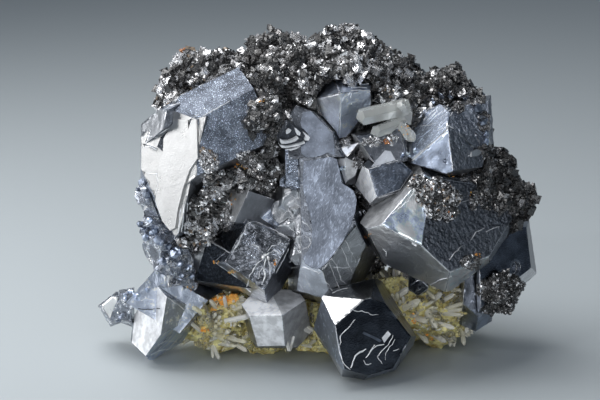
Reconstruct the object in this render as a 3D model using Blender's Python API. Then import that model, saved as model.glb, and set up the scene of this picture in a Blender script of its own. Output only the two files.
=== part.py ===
import math
import random

import bmesh
import bpy
from mathutils import Matrix, Vector

# Galena with sphalerite and quartz. The viewer looks along +Y and a little down, Z is up, sizes are in mm.
MM = 0.001
GAP = 0.3
WORKPIECE = 40.0

for old in list(bpy.data.objects):
    bpy.data.objects.remove(old, do_unlink=True)


# Directions: a bearing of 0 faces the viewer and 90 the right, a rise of 90 faces up.
def facing(bearing, rise):
    b, r = math.radians(bearing), math.radians(rise)
    return Vector((math.sin(b) * math.cos(r), -math.cos(b) * math.cos(r), math.sin(r)))


# A block is a list of planes (normal, distance along it) that bound a convex solid.
def block(centre, faces, back=None, lone=()):
    """Crystal from faces (bearing, rise, reach from the centre). Without a back each has a twin, bar the lone."""
    centre = Vector(centre)
    planes = []
    for bearing, rise, reach in faces + list(lone):
        normal = facing(bearing, rise)
        planes.append((normal, centre.dot(normal) + reach))
        if back is None and (bearing, rise, reach) not in lone:
            planes.append((-normal, reach - centre.dot(normal)))
    if back is not None:
        planes.append((Vector((0, 1, 0)), centre.y + back))
    return centre, WORKPIECE, planes


def lump(chance, centre, radius, faces=10):
    """Stubby lump with faces spread evenly over a ball and then shaken."""
    centre = Vector(centre)
    turn = chance.uniform(0, math.tau)
    planes = []
    for i in range(faces):
        height = 1 - 2 * (i + 0.5) / faces
        angle = turn + i * math.pi * (3 - math.sqrt(5))
        ring = math.sqrt(1 - height * height)
        normal = Vector((ring * math.cos(angle), ring * math.sin(angle), height))
        normal += Vector([chance.uniform(-0.3, 0.3) for _ in range(3)])
        normal.normalize()
        planes.append((normal, centre.dot(normal) + radius * chance.uniform(0.78, 1.0)))
    return centre, radius * 2.2, planes


def galena_crystal(chance, centre, radius, corner=1.18):
    """Cube with its corners cut off by octahedron faces, turned at random."""
    centre = Vector(centre)
    turn = Matrix.Rotation(chance.uniform(0, math.tau), 3, Vector([chance.gauss(0, 1) for _ in range(3)]))
    planes = []
    for axis in range(3):
        for side in (-1, 1):
            normal = Vector((0, 0, 0))
            normal[axis] = side
            normal = turn @ normal
            planes.append((normal, centre.dot(normal) + radius * chance.uniform(0.85, 1.0)))
    for corner_at in range(8):
        normal = Vector([1 if corner_at >> k & 1 else -1 for k in range(3)]).normalized()
        normal = turn @ normal
        planes.append((normal, centre.dot(normal) + radius * corner * chance.uniform(0.9, 1.05)))
    return centre, radius * 2.5, planes


def prism(tip, root, radius, turn=0.0, point=0.62):
    """Quartz: six sides and a six-faced point. The point's share of the steepness is given."""
    tip, root = Vector(tip), Vector(root)
    axis = (tip - root).normalized()
    across = axis.orthogonal().normalized()
    middle = (tip + root) / 2
    planes = [(-axis, -axis.dot(root))]
    for i in range(6):
        side = Matrix.Rotation(turn + i * math.pi / 3, 3, axis) @ across
        planes.append((side, side.dot(root) + radius * (1.0 if i % 2 else 0.88)))
        slope = (side * math.sqrt(1 - point * point) + axis * point).normalized()
        planes.append((slope, slope.dot(tip) + (0.0 if i % 2 else radius * 0.12)))
    return middle, (tip - root).length, planes


# Solids
def cut_out(shape, swell=0.0):
    """Mesh of a block, every face moved outward by the swell."""
    centre, size, planes = shape
    bm = bmesh.new()
    bmesh.ops.create_cube(bm, size=2 * size, matrix=Matrix.Translation(centre))
    for normal, distance in planes:
        parts = bm.verts[:] + bm.edges[:] + bm.faces[:]
        done = bmesh.ops.bisect_plane(bm, geom=parts, dist=1e-5, plane_co=normal * (distance + swell),
                                      plane_no=normal, clear_outer=True)
        rim = [piece for piece in done["geom_cut"] if isinstance(piece, bmesh.types.BMEdge)]
        if rim:
            bmesh.ops.contextual_create(bm, geom=rim)
    bmesh.ops.remove_doubles(bm, verts=bm.verts[:], dist=0.02)
    bmesh.ops.dissolve_degenerate(bm, edges=bm.edges[:], dist=0.01)
    bmesh.ops.recalc_face_normals(bm, faces=bm.faces[:])
    bmesh.ops.scale(bm, vec=(MM, MM, MM), verts=bm.verts[:])
    mesh = bpy.data.meshes.new("shape")
    bm.to_mesh(mesh)
    bm.free()
    made = bpy.data.objects.new("shape", mesh)
    bpy.context.collection.objects.link(made)
    return made


def combine(body, tool, operation):
    """Exact Boolean of a tool with the body. The tool goes."""
    step = body.modifiers.new("step", "BOOLEAN")
    step.operation = operation
    step.solver = "EXACT"
    step.object = tool
    result = bpy.data.meshes.new_from_object(body.evaluated_get(bpy.context.evaluated_depsgraph_get()))
    body.modifiers.clear()
    body.data = result
    bpy.data.objects.remove(tool, do_unlink=True)


def apart(first, second):
    """True where the boxes around two blocks can't meet."""
    return any(low_a > high_b or low_b > high_a for (low_a, high_a), (low_b, high_b) in zip(first, second))


def box_of(shape):
    """Box around a block in mm."""
    made = cut_out(shape, GAP)
    corners = [[v.co[k] / MM for v in made.data.vertices] for k in range(3)]
    bpy.data.objects.remove(made, do_unlink=True)
    return [(min(values), max(values)) for values in corners]


def grow(name, shapes, cutters=()):
    """Blocks joined in one solid, less the room that the cutters need."""
    body = cut_out(shapes[0])
    for shape in shapes[1:]:
        combine(body, cut_out(shape), "UNION")
    boxes = [box_of(shape) for shape in shapes]
    for cutter, cutter_box in cutters:
        if not all(apart(cutter_box, own) for own in boxes):
            combine(body, cut_out(cutter, GAP), "DIFFERENCE")
    keep_largest(body)
    body.name = name
    body.data.name = name
    return body


def keep_largest(body):
    """Drops slivers, welds what the cuts left loose and turns the faces outward."""
    bm = bmesh.new()
    bm.from_mesh(body.data)
    bmesh.ops.remove_doubles(bm, verts=bm.verts[:], dist=0.02 * MM)
    bmesh.ops.dissolve_degenerate(bm, edges=bm.edges[:], dist=0.02 * MM)
    bmesh.ops.dissolve_limit(bm, angle_limit=math.radians(0.5), verts=bm.verts[:], edges=bm.edges[:])
    left = set(bm.faces)
    islands = []
    while left:
        front = [left.pop()]
        island = []
        while front:
            face = front.pop()
            island.append(face)
            for edge in face.edges:
                for other in edge.link_faces:
                    if other in left:
                        left.remove(other)
                        front.append(other)
        islands.append(island)
    islands.sort(key=lambda island: sum(face.calc_area() for face in island))
    for island in islands[:-1]:
        bmesh.ops.delete(bm, geom=island, context="FACES")
    bmesh.ops.triangulate(bm, faces=bm.faces[:])
    bm.to_mesh(body.data)
    bm.free()


def paint(body, colour, roughness, metallic):
    """Plain surface in one colour."""
    material = bpy.data.materials.new(body.name)
    material.use_nodes = True
    shader = material.node_tree.nodes["Principled BSDF"]
    shader.inputs["Base Color"].default_value = (*colour, 1.0)
    shader.inputs["Roughness"].default_value = roughness
    shader.inputs["Metallic"].default_value = metallic
    body.data.materials.clear()
    body.data.materials.append(material)


# Galena crystals, as faces (bearing, rise, reach)
def left_crystals():
    tall = block((-35, -3, 53.5), [(-24, 61, 24.3), (22, 7, 24.4), (-38, 7, 18.2), (47, -49, 10.9)], lone=[
        (-87, 1, 13.0), (-74, -21, 14.1), (-87, 42, 15.9), (93, -1, 22.0), (93, -42, 9.2), (106, 21, 20.0)])
    ledge = block((-39.5, -10, 46), [
        (-38, 7, 10.6), (73, -13, 8.3), (-82, -25, 3.9), (-85, -1, 4.2),
        (-73, -30, 6.8), (-132, 71, 18.0), (64, -50, 10.8)], back=9)
    shoulder = block((-41.5, -12, 66.5), [
        (50, -1, 8.1), (-65, 14, 4.6), (-88, 76, 5.1), (66, -53, 2.6), (-87, 1, 5.8)])
    return [tall, ledge, shoulder]


def lower_left_crystals():
    bright = block((-42.5, -8, 9.5), [
        (-59, 11, 7.7), (51, -4, 9.5), (56, -39, 5.8), (-104, 45, 9.8),
        (97, 54, 9.4), (-69, -40, 9.7), (-87, 7, 7.7)], lone=[(180, -70, 7.7)])
    dark = block((-37, -6, 17.5), [(22, 14, 8.8), (76, 54, 4.9), (69, -34, 7.6)])
    outlier = block((-56.5, -1, 11.5), [
        (-34, 0, 5.4), (-104, 49, 2.6), (-72, -28, 2.3), (-7, -12, 6.4),
        (153, 78, 4.0), (91, 2, 3.8), (44, -62, 3.9)], back=7)
    bridge = block((-52, -5, 13.5), [
        (0, 0, 6.0), (90, -1, 1.5), (-87, 1, 2.3), (-139, 74, 4.1), (-42, -60, 4.3)], back=7)
    chance = random.Random(4)
    column = [((-45.5, -11, 46), 3.0), ((-43.5, -10, 42), 2.9), ((-44, -9, 37), 3.8), ((-41.5, -12, 33), 3.8),
              ((-39, -13, 28), 4.2), ((-43, -6, 30), 3.8), ((-38, -10, 23), 4.6)]
    rough = [galena_crystal(chance, centre, radius, 1.3) for centre, radius in column]
    return [bright, dark, outlier, bridge] + rough


def centre_crystals():
    plate = block((2, -10, 40), [
        (0, 16, 16.7), (39, -14, 16.5), (-30, -33, 20.4), (87, 20, 8.5), (85, 20, 11.9), (86, 11, 11.0),
        (72, -21, 14.2), (-83, 1, 9.1), (-78, -19, 15.7), (-170, 80, 16.9), (-43, -62, 21.7)], back=8)
    head = block((-1, -10, 61.5), [
        (-1, 22, 9.8), (86, 26, 6.0), (92, 44, 5.4), (-83, -5, 8.6), (-93, 40, 10.4),
        (108, 69, 7.1), (7, -73, 5.8)], back=8)
    side = block((-7, -11, 54), [
        (-12, 6, 8.6), (-80, 0, 3.6), (90, 0, 4.0), (0, 80, 8.0), (-30, -70, 6.0)], back=8)
    chance = random.Random(2)
    crumples = [((-7.5, -17, 51), 2.7), ((-8, -17.5, 47), 3.3), ((-8.5, -17, 43), 3.6), ((-5.5, -20, 45), 2.6),
                ((-5, -21, 41), 3.2), ((-8, -19, 39), 3.4), ((-4, -23, 37.5), 2.6), ((-5, -23, 34), 3.0)]
    return [plate, head, side] + [galena_crystal(chance, place, radius, 1.25) for place, radius in crumples]


def centre_left_crystals():
    etched = block((-17.5, -12, 29.5), [
        (-8, 17, 12.3), (-72, 32, 10.0), (65, -21, 10.1), (-50, -40, 9.1), (98, 68, 10.1)])
    behind = block((-26.5, -8, 26), [(-29, -12, 8.3), (85, 68, 7.7), (-82, 12, 6.7), (-27, -65, 6.1)])
    upper = block((-18.5, -11, 46), [(-62, 22, 5.6), (24, -8, 7.6), (60, 50, 5.5), (-10, -70, 8.0)], back=8)
    return [etched, behind, upper]


def top_crystals():
    return [block((6, -6, 70), [
        (-46, -13, 9.2), (-77, 54, 7.5), (42, -16, 8.5), (71, 81, 6.8), (86, 2, 7.9), (70, -33, 7.1)])]


def nest_crystals():
    front = block((7.5, -14, 54), [(29, 2, 5.8), (-58, -4, 4.2), (92, 58, 3.6), (75, -19, 3.0), (63, -42, 3.2)])
    upper = block((7.5, -12, 59), [(-6, 20, 7.4), (-118, 72, 1.5), (70, -34, 2.1), (-72, -33, 2.5)])
    right = block((16, -10, 60.5), [(-7, 32, 8.2), (-105, 79, 4.0), (-72, -28, 5.9), (84, 16, 7.0)])
    return [front, upper, right]


def middle_crystals():
    return [block((18, -13, 51.5), [
        (14, 26, 9.7), (-64, -4, 8.8), (-62, 74, 7.2), (70, -27, 6.0), (39, -53, 6.6), (89, 52, 6.8)])]


def upper_right_crystals():
    front = block((33, -8, 59.5), [
        (-33, 16, 13.0), (59, 18, 9.4), (-66, 38, 8.5), (68, 38, 8.8), (-48, -63, 8.7), (40, -63, 9.4)])
    side = block((40.5, 2, 61), [
        (30, 16, 9.6), (-117, 85, 8.5), (82, 4, 5.8), (67, -18, 7.4), (-87, -1, 4.7), (0, -80, 9.0)], back=2)
    return [front, side]


def right_crystals():
    return [block((32, -8, 35), [
        (-75, 50, 20.8), (13, 29, 21.9), (-28, -39, 17.2), (43, 18, 14.9),
        (48, -36, 15.8), (79, 67, 17.7), (-74, -30, 18.3), (69, -19, 16.3)],
        lone=[(-122, -64, 7.7), (114, -59, 10.0)])]


def far_right_crystals():
    return [block((51, 6, 23.5), [(40, 10, 11.2), (83, 8, 7.3), (61, -39, 7.7), (105, 79, 11.6)],
                  lone=[(150, 12, 7.0), (-80, 0, 12.0), (180, -55, 8.0)])]


def lower_right_crystals():
    return [block((42.5, -2, 13.5), [(24, 11, 9.6), (51, -35, 6.3), (-41, -37, 7.3), (-89, 3, 4.4), (83, 5, 4.9)],
                  lone=[(180, -60, 3.4)])]


def front_left_crystals():
    return [block((-11.5, -14, 12.5), [
        (-45, 68, 8.1), (-20, -30, 8.4), (19, 78, 7.9), (58, -14, 7.2), (-75, -19, 7.9), (-3, -68, 7.7)])]


def front_crystals():
    return [block((12, -20, 10.5), [
        (-13, 46, 18.9), (24, 8, 14.1), (-70, -10, 12.3), (72, 63, 14.2), (92, 36, 10.6), (72, -25, 12.3),
        (39, -60, 12.4), (-75, -25, 11.5)], lone=[(180, -70, 5.8), (0, 84, 14.6), (-20, -60, 13.4)])]


def small_crystals():
    return [galena_crystal(random.Random(9), (26.5, -13, 22.5), 2.9)]


def back_crystals(seed, places):
    chance = random.Random(seed)
    return [galena_crystal(chance, centre, radius) for centre, radius in places]


# Sphalerite lumps (place, radius)
CORE = [((-20, 3, 58), 19), ((2, 5, 60), 21), ((22, 4, 54), 18), ((-20, 5, 36), 17), ((4, 8, 36), 20),
        ((30, 5, 33), 17), ((44, 3, 40), 10), ((-32, 10, 58), 13), ((0, 13, 48), 18), ((30, 10, 56), 12)]
CROWN_LEFT = [((-38, -3, 68), 4.2), ((-39, 2, 72.5), 4.3), ((-34, 6, 77.8), 4.8), ((-28.5, 6, 77.5), 5.0),
              ((-22, 0, 74.5), 5.0), ((-31, 4, 74), 6.0), ((-41.5, 5, 67.5), 3.0), ((-25, 9, 78), 3.4),
              ((-20, 6, 76), 4.6), ((-35, 10, 70), 8.0)]
HANGING = [((-18, -13, 74), 5.4), ((-14, -11, 76), 5.4), ((-15, -19, 71), 4.6), ((-11, -19, 68), 3.4),
           ((-8, -21, 66.5), 2.6), ((-22, -18, 74), 3.2), ((-18, -21, 69), 3.2), ((-14, -12, 69), 5.0)]
CROWN_MIDDLE = [((-15.5, 5, 82), 4.5), ((-10, 8, 80.5), 4.6), ((-5, 2, 81), 4.8), ((-12, -2, 79), 5.0),
                ((-4, 0, 76), 4.4), ((-10, 8, 76), 8.0)]
CROWN_TOP = [((4, 6, 83.4), 5.4), ((7, 8, 85.5), 3.4), ((11, 4, 81.4), 5.2), ((5, -4, 80.5), 4.2),
             ((18, 4, 78), 4.7), ((14, -4, 77), 4.0), ((21.5, 4, 74), 4.2), ((24.5, 4, 69.5), 3.6),
             ((18, -8, 73), 3.2), ((27, 1, 66), 3.0), ((23, -5, 70), 3.2), ((8, 8, 76), 9.0),
             ((20, 8, 66), 8.0), ((2, -9, 79.5), 3.6), ((9, -9, 80), 3.8)]
SHOULDER = [((34.5, 4, 73.5), 3.6), ((38, 4, 71), 3.3), ((41.5, 4, 67.5), 3.1), ((43, 4, 63.5), 2.6),
            ((36, 9, 64), 6.0), ((38, 10, 59), 7.4)]
RIGHT = [((44.8, -6, 50.5), 4.8), ((48.8, -5, 47.3), 4.7), ((54.4, -4, 43.5), 4.1), ((52, -5, 39), 4.2),
         ((47, -8, 43), 5.0), ((43, -11, 49), 3.8), ((46, 2, 46), 8.0)]
LOW_RIGHT = [((47.3, -12.6, 20.6), 3.9), ((49.6, -11.2, 16.8), 3.4), ((45.3, -12.7, 16.9), 3.2),
             ((50.8, -10, 20.5), 3.2)]
MIDDLE_LEFT = [((-30, -25, 57), 2.4), ((-25, -20.2, 53.3), 3.2), ((-17, -19, 57.3), 3.8), ((-14.5, -18, 61), 3.6),
               ((-14, -16, 54.5), 3.6), ((-15.5, -16, 51.5), 3.8), ((-21, -17, 51), 3.6), ((-28, -19, 50), 3.4),
               ((-33, -22, 46), 2.6), ((-35, -21, 41), 2.6), ((-35, -18, 36), 2.6), ((-31, -18, 40), 3.4),
               ((-28, -15, 43), 4.0), ((-24, -11, 44), 4.0), ((-20, -12, 54), 8.0)]
PATCH = [((29, -25.5, 50), 3.8), ((26, -25, 52), 2.6), ((33, -24, 48.5), 3.4), ((29.5, -26.5, 46.5), 3.0),
         ((33.5, -25, 45.5), 2.6)]
BACK_MIDDLE = (2, 6, 46)
BACK_REACH = (42, 20, 34)
BACK_LUMPS = 30


def back_lumps(chance):
    """Lumps over the far side of the mass."""
    made = []
    while len(made) < BACK_LUMPS:
        way = Vector([chance.gauss(0, 1) for _ in range(3)]).normalized()
        if way.y < 0.1 or way.z < -0.5:
            continue
        place = [middle + way[k] * BACK_REACH[k] for k, middle in enumerate(BACK_MIDDLE)]
        made.append(lump(chance, place, chance.uniform(4.5, 8.5)))
    return made


def mass_shapes():
    chance = random.Random(21)
    shapes = [lump(chance, place, radius, 15) for place, radius in CORE]
    shapes += back_lumps(chance)
    for group in (CROWN_LEFT, HANGING, CROWN_MIDDLE, CROWN_TOP, SHOULDER, RIGHT, MIDDLE_LEFT):
        shapes += [lump(chance, place, 0.93 * radius) for place, radius in group]
    return shapes


# Quartz
MATRIX = [((-26, -4, 10), 10), ((-33, 2, 9), 8), ((-14, -3, 8), 9), ((-2, -2, 8), 9), ((10, 0, 9), 12),
          ((23, -1, 15), 11), ((34, 0, 11), 9), ((-22, 10, 9), 12), ((0, 12, 9), 13), ((22, 11, 9), 12),
          ((37, 9, 10), 8), ((-10, 19, 8), 9), ((14, 19, 8), 9)]
DIVIDE_FROM = Vector((0, -14, 22))
DIVIDE_FACES = Vector((-0.12, 0.28, 1)).normalized()
DRUSE = [((-28, -7, 10), 9, 6), ((-20, -6, 11), 9, 4), ((-5, -5, 7), 7, 3), ((20, -6, 18), 9, 6),
         ((27, -6, 13), 9, 6), ((35, -3, 10), 8, 4)]


def druse(chance):
    """Prisms that stand out of the front of the matrix."""
    made = []
    for place, radius, count in DRUSE:
        for _ in range(count):
            way = Vector((chance.uniform(-0.9, 0.9), -1, chance.uniform(-0.6, 0.8))).normalized()
            lean = Vector([chance.uniform(-0.35, 0.35) for _ in range(3)])
            root = Vector(place) + way * radius * 0.6
            tip = Vector(place) + way * radius + (way + lean).normalized() * chance.uniform(1.5, 5.5)
            if tip.z > 1.5:
                made.append(prism(tip, root, chance.uniform(0.7, 1.3), chance.uniform(0, 1)))
    return made


def back_druse(chance):
    """A few stout prisms around the back."""
    made = []
    for place, radius in MATRIX[7:]:
        for _ in range(2):
            way = Vector((chance.uniform(-0.5, 0.5) + place[0] * 0.02, 1, chance.uniform(0.0, 0.5))).normalized()
            root = Vector(place) + way * (radius - 3)
            made.append(prism(root + way * chance.uniform(4.5, 7), root, chance.uniform(1.1, 1.7)))
    return made


def matrix_shapes():
    chance = random.Random(33)
    return [lump(chance, place, radius, 15) for place, radius in MATRIX] + druse(chance) + back_druse(chance)


def upper_quartz_shapes():
    long = prism((9.4, -20.5, 69.4), (23, -15, 71.3), 2.1, 0.2, 0.8)
    stub = prism((24.9, -20, 63.1), (19.5, -14, 67.5), 1.4, 0.5)
    spike = prism((21.6, -20.5, 73.0), (20.5, -12, 70), 1.3, 0.1)
    lower = prism((13.2, -21, 65.4), (22, -14, 66.8), 1.6, 0.3)
    root = lump(random.Random(5), (20.5, -12.5, 68.6), 3.4, 12)
    return [root, long, stub, spike, lower]


def slice_off(body, point, normal):
    """Cuts the solid flat and drops what lies on the normal's side."""
    big = 200
    middle = Vector(point) + normal.normalized() * big
    planes = [(-normal.normalized(), -normal.normalized().dot(Vector(point)))]
    combine(body, cut_out((middle, 2 * big, planes)), "DIFFERENCE")
    keep_largest(body)


GALENA = [
    ("galena_left", left_crystals(), (0.42, 0.45, 0.50)),
    ("galena_centre", centre_crystals(), (0.36, 0.41, 0.50)),
    ("galena_right", right_crystals(), (0.34, 0.37, 0.42)),
    ("galena_upper_right", upper_right_crystals(), (0.40, 0.43, 0.48)),
    ("galena_top", top_crystals(), (0.36, 0.40, 0.46)),
    ("galena_middle", middle_crystals(), (0.28, 0.32, 0.38)),
    ("galena_front", front_crystals(), (0.22, 0.25, 0.30)),
    ("galena_front_left", front_left_crystals(), (0.46, 0.49, 0.56)),
    ("galena_centre_left", centre_left_crystals(), (0.24, 0.27, 0.32)),
    ("galena_lower_left", lower_left_crystals(), (0.45, 0.48, 0.54)),
    ("galena_nest", nest_crystals(), (0.36, 0.40, 0.46)),
    ("galena_far_right", far_right_crystals(), (0.16, 0.18, 0.21)),
    ("galena_lower_right", lower_right_crystals(), (0.28, 0.30, 0.34)),
    ("galena_small", small_crystals(), (0.28, 0.32, 0.38)),
    ("galena_back_left", back_crystals(3, [((-22, 21, 46), 11), ((-30, 18, 34), 7)]), (0.38, 0.41, 0.46)),
    ("galena_back_right", back_crystals(8, [((18, 22, 52), 12), ((29, 18, 60), 7)]), (0.38, 0.41, 0.46)),
    ("galena_back_low", back_crystals(5, [((4, 23, 29), 9), ((14, 22, 25), 6)]), (0.38, 0.41, 0.46))]


def build():
    """All solids. Each later one makes room for those before it."""
    bodies = []
    taken = []

    def add(name, shapes, colour, roughness, metallic):
        body = grow(name, shapes, taken)
        paint(body, colour, roughness, metallic)
        bodies.append(body)
        return body

    for name, shapes, colour in GALENA:
        add(name, shapes, colour, 0.32, 0.9)
        taken.extend((shape, box_of(shape)) for shape in shapes)
    upper = upper_quartz_shapes()
    add("quartz_upper", upper, (0.62, 0.64, 0.58), 0.2, 0.0)
    taken.extend((shape, box_of(shape)) for shape in upper)
    chance = random.Random(17)
    patch = [lump(chance, place, radius) for place, radius in PATCH]
    add("sphalerite_patch", patch, (0.07, 0.06, 0.055), 0.35, 0.3)
    taken.extend((shape, box_of(shape)) for shape in patch)
    low = [lump(chance, place, radius) for place, radius in LOW_RIGHT]
    add("sphalerite_low", low, (0.07, 0.06, 0.055), 0.35, 0.3)
    taken.extend((shape, box_of(shape)) for shape in low)
    mass = add("sphalerite_mass", mass_shapes(), (0.07, 0.06, 0.055), 0.35, 0.3)
    slice_off(mass, DIVIDE_FROM, -DIVIDE_FACES)
    matrix = add("quartz_matrix", matrix_shapes(), (0.50, 0.47, 0.32), 0.45, 0.0)
    slice_off(matrix, DIVIDE_FROM - DIVIDE_FACES * GAP, DIVIDE_FACES)
    slice_off(matrix, (0, 0, 0), Vector((0, 0, -1)))
    return bodies


def centre_on_floor(bodies):
    """Moves the whole so that its box stands centred on the floor."""
    corners = [vertex.co for body in bodies for vertex in body.data.vertices]
    low = Vector([min(co[k] for co in corners) for k in range(3)])
    high = Vector([max(co[k] for co in corners) for k in range(3)])
    shift = Vector(((low.x + high.x) / 2, (low.y + high.y) / 2, low.z))
    for body in bodies:
        body.data.transform(Matrix.Translation(-shift))
    return shift


SHIFT = centre_on_floor(build())
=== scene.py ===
import math
import random

import bmesh
import bpy
import numpy as np
from mathutils import Matrix, Vector, noise
from mathutils.bvhtree import BVHTree


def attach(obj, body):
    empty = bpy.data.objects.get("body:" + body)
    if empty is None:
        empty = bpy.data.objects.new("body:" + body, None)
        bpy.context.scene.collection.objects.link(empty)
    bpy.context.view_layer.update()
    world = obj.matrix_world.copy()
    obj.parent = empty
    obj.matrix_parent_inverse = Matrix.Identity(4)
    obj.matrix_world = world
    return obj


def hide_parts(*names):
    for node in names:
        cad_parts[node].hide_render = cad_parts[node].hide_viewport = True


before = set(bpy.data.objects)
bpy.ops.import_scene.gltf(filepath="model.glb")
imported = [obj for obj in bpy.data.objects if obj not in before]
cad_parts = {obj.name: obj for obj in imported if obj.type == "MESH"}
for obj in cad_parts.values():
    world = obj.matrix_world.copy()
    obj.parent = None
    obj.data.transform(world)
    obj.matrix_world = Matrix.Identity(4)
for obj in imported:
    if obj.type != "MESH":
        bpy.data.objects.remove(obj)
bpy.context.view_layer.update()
MM = 0.001
BODY = "root"
NODES = {name: bpy.data.objects[name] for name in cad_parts}


# Camera, at the photograph's angle
AIM = Vector((-4.854, 0.964, 41.7)) * MM
CAMERA_RISE = math.radians(15)
CAMERA_DISTANCE = 0.9
LENS = 200
SENSOR = 36
FRAME_WIDE, FRAME_HIGH = 600, 400
LOOK = Vector((0, math.cos(CAMERA_RISE), -math.sin(CAMERA_RISE)))
UP = Vector((0, math.sin(CAMERA_RISE), math.cos(CAMERA_RISE)))
EYE = AIM - LOOK * CAMERA_DISTANCE


def add_camera():
    lens = bpy.data.cameras.new("camera")
    lens.lens = LENS
    lens.sensor_width = SENSOR
    lens.clip_start = 0.01
    camera = bpy.data.objects.new("camera", lens)
    camera.location = EYE
    camera.rotation_euler = (math.radians(90) - CAMERA_RISE, 0, 0)
    bpy.context.collection.objects.link(camera)
    bpy.context.scene.camera = camera


def toward(across, down):
    """Direction of the camera's ray through a place in the frame."""
    step = SENSOR / LENS / FRAME_WIDE
    right = Vector((1, 0, 0)) * (across - FRAME_WIDE / 2) * step
    return (LOOK + right - UP * (down - FRAME_HIGH / 2) * step).normalized()


# Mesh tools
def deselect():
    if bpy.context.object and bpy.context.object.mode != "OBJECT":
        bpy.ops.object.mode_set(mode="OBJECT")
    bpy.ops.object.select_all(action="DESELECT")


def choose(piece):
    deselect()
    piece.select_set(True)
    bpy.context.view_layer.objects.active = piece


def copy_of(node, name):
    """Merged copy of a solid, its flat faces whole again."""
    piece = bpy.data.objects.new(name, NODES[node].data.copy())
    piece.data.materials.clear()
    bpy.context.collection.objects.link(piece)
    choose(piece)
    bpy.ops.object.mode_set(mode="EDIT")
    bpy.ops.mesh.select_all(action="SELECT")
    bpy.ops.mesh.remove_doubles(threshold=0.01 * MM)
    bpy.ops.mesh.dissolve_limited(angle_limit=math.radians(1))
    bpy.ops.object.mode_set(mode="OBJECT")
    return piece


def apply(piece, kind, **settings):
    """Adds a modifier and applies it."""
    choose(piece)
    step = piece.modifiers.new("step", kind)
    for key, value in settings.items():
        setattr(step, key, value)
    bpy.ops.object.modifier_apply(modifier=step.name)


def mesh_piece(name, points, faces, material):
    """Piece from arrays of points and of three-cornered faces."""
    mesh = bpy.data.meshes.new(name)
    mesh.vertices.add(len(points))
    mesh.vertices.foreach_set("co", np.asarray(points, np.float32).ravel())
    mesh.loops.add(3 * len(faces))
    mesh.loops.foreach_set("vertex_index", np.asarray(faces, np.int32).ravel())
    mesh.polygons.add(len(faces))
    mesh.polygons.foreach_set("loop_start", np.arange(0, 3 * len(faces), 3, dtype=np.int32))
    mesh.update(calc_edges=True)
    mesh.shade_flat()
    mesh.materials.append(material)
    piece = bpy.data.objects.new(name, mesh)
    bpy.context.collection.objects.link(piece)
    return piece


def taken_apart(shape):
    """Points and triangles of a shape, which is then removed."""
    apply(shape, "TRIANGULATE")
    points = np.array([v.co[:] for v in shape.data.vertices])
    faces = np.array([f.vertices[:] for f in shape.data.polygons])
    bpy.data.objects.remove(shape, do_unlink=True)
    return points, faces


def shade_of(piece, name, values):
    """Keeps one number per face for the material."""
    attribute = piece.data.attributes.new(name, "FLOAT", "FACE")
    attribute.data.foreach_set("value", np.asarray(values, np.float32))


def triangles(piece):
    """Corners of a mesh's triangles, with their areas and directions."""
    piece.data.calc_loop_triangles()
    points = np.empty(len(piece.data.vertices) * 3, np.float32)
    piece.data.vertices.foreach_get("co", points)
    index = np.empty(len(piece.data.loop_triangles) * 3, np.int32)
    piece.data.loop_triangles.foreach_get("vertices", index)
    corners = points.reshape(-1, 3)[index.reshape(-1, 3)]
    cross = np.cross(corners[:, 1] - corners[:, 0], corners[:, 2] - corners[:, 0])
    length = np.linalg.norm(cross, axis=1)
    return corners, length / 2, cross / np.maximum(length, 1e-12)[:, None]


def tree_of(pieces):
    """Search tree of several meshes."""
    points, faces = [], []
    for piece in pieces:
        start = len(points)
        points += [v.co.copy() for v in piece.data.vertices]
        faces += [[start + i for i in face.vertices] for face in piece.data.polygons]
    return BVHTree.FromPolygons(points, faces)


# Shader tools
class Flow:
    """A socket whose arithmetic adds Math nodes."""

    def __init__(self, recipe, socket):
        self.recipe = recipe
        self.socket = socket

    def math(self, operation, *others):
        made = self.recipe.node("ShaderNodeMath", {"operation": operation}, (self, *others))
        return Flow(self.recipe, made.outputs[0])

    def flipped(self, operation, other):
        made = self.recipe.node("ShaderNodeMath", {"operation": operation}, (other, self))
        return Flow(self.recipe, made.outputs[0])

    def __add__(self, other):
        return self.math("ADD", other)

    def __sub__(self, other):
        return self.math("SUBTRACT", other)

    def __rsub__(self, other):
        return self.flipped("SUBTRACT", other)

    def __mul__(self, other):
        return self.math("MULTIPLY", other)

    __radd__ = __add__
    __rmul__ = __mul__

    def rise(self, low, high):
        """0 below low, 1 above high, smooth between."""
        made = self.recipe.node("ShaderNodeMapRange", {"interpolation_type": "SMOOTHSTEP"}, (self, low, high))
        return Flow(self.recipe, made.outputs[0])


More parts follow.
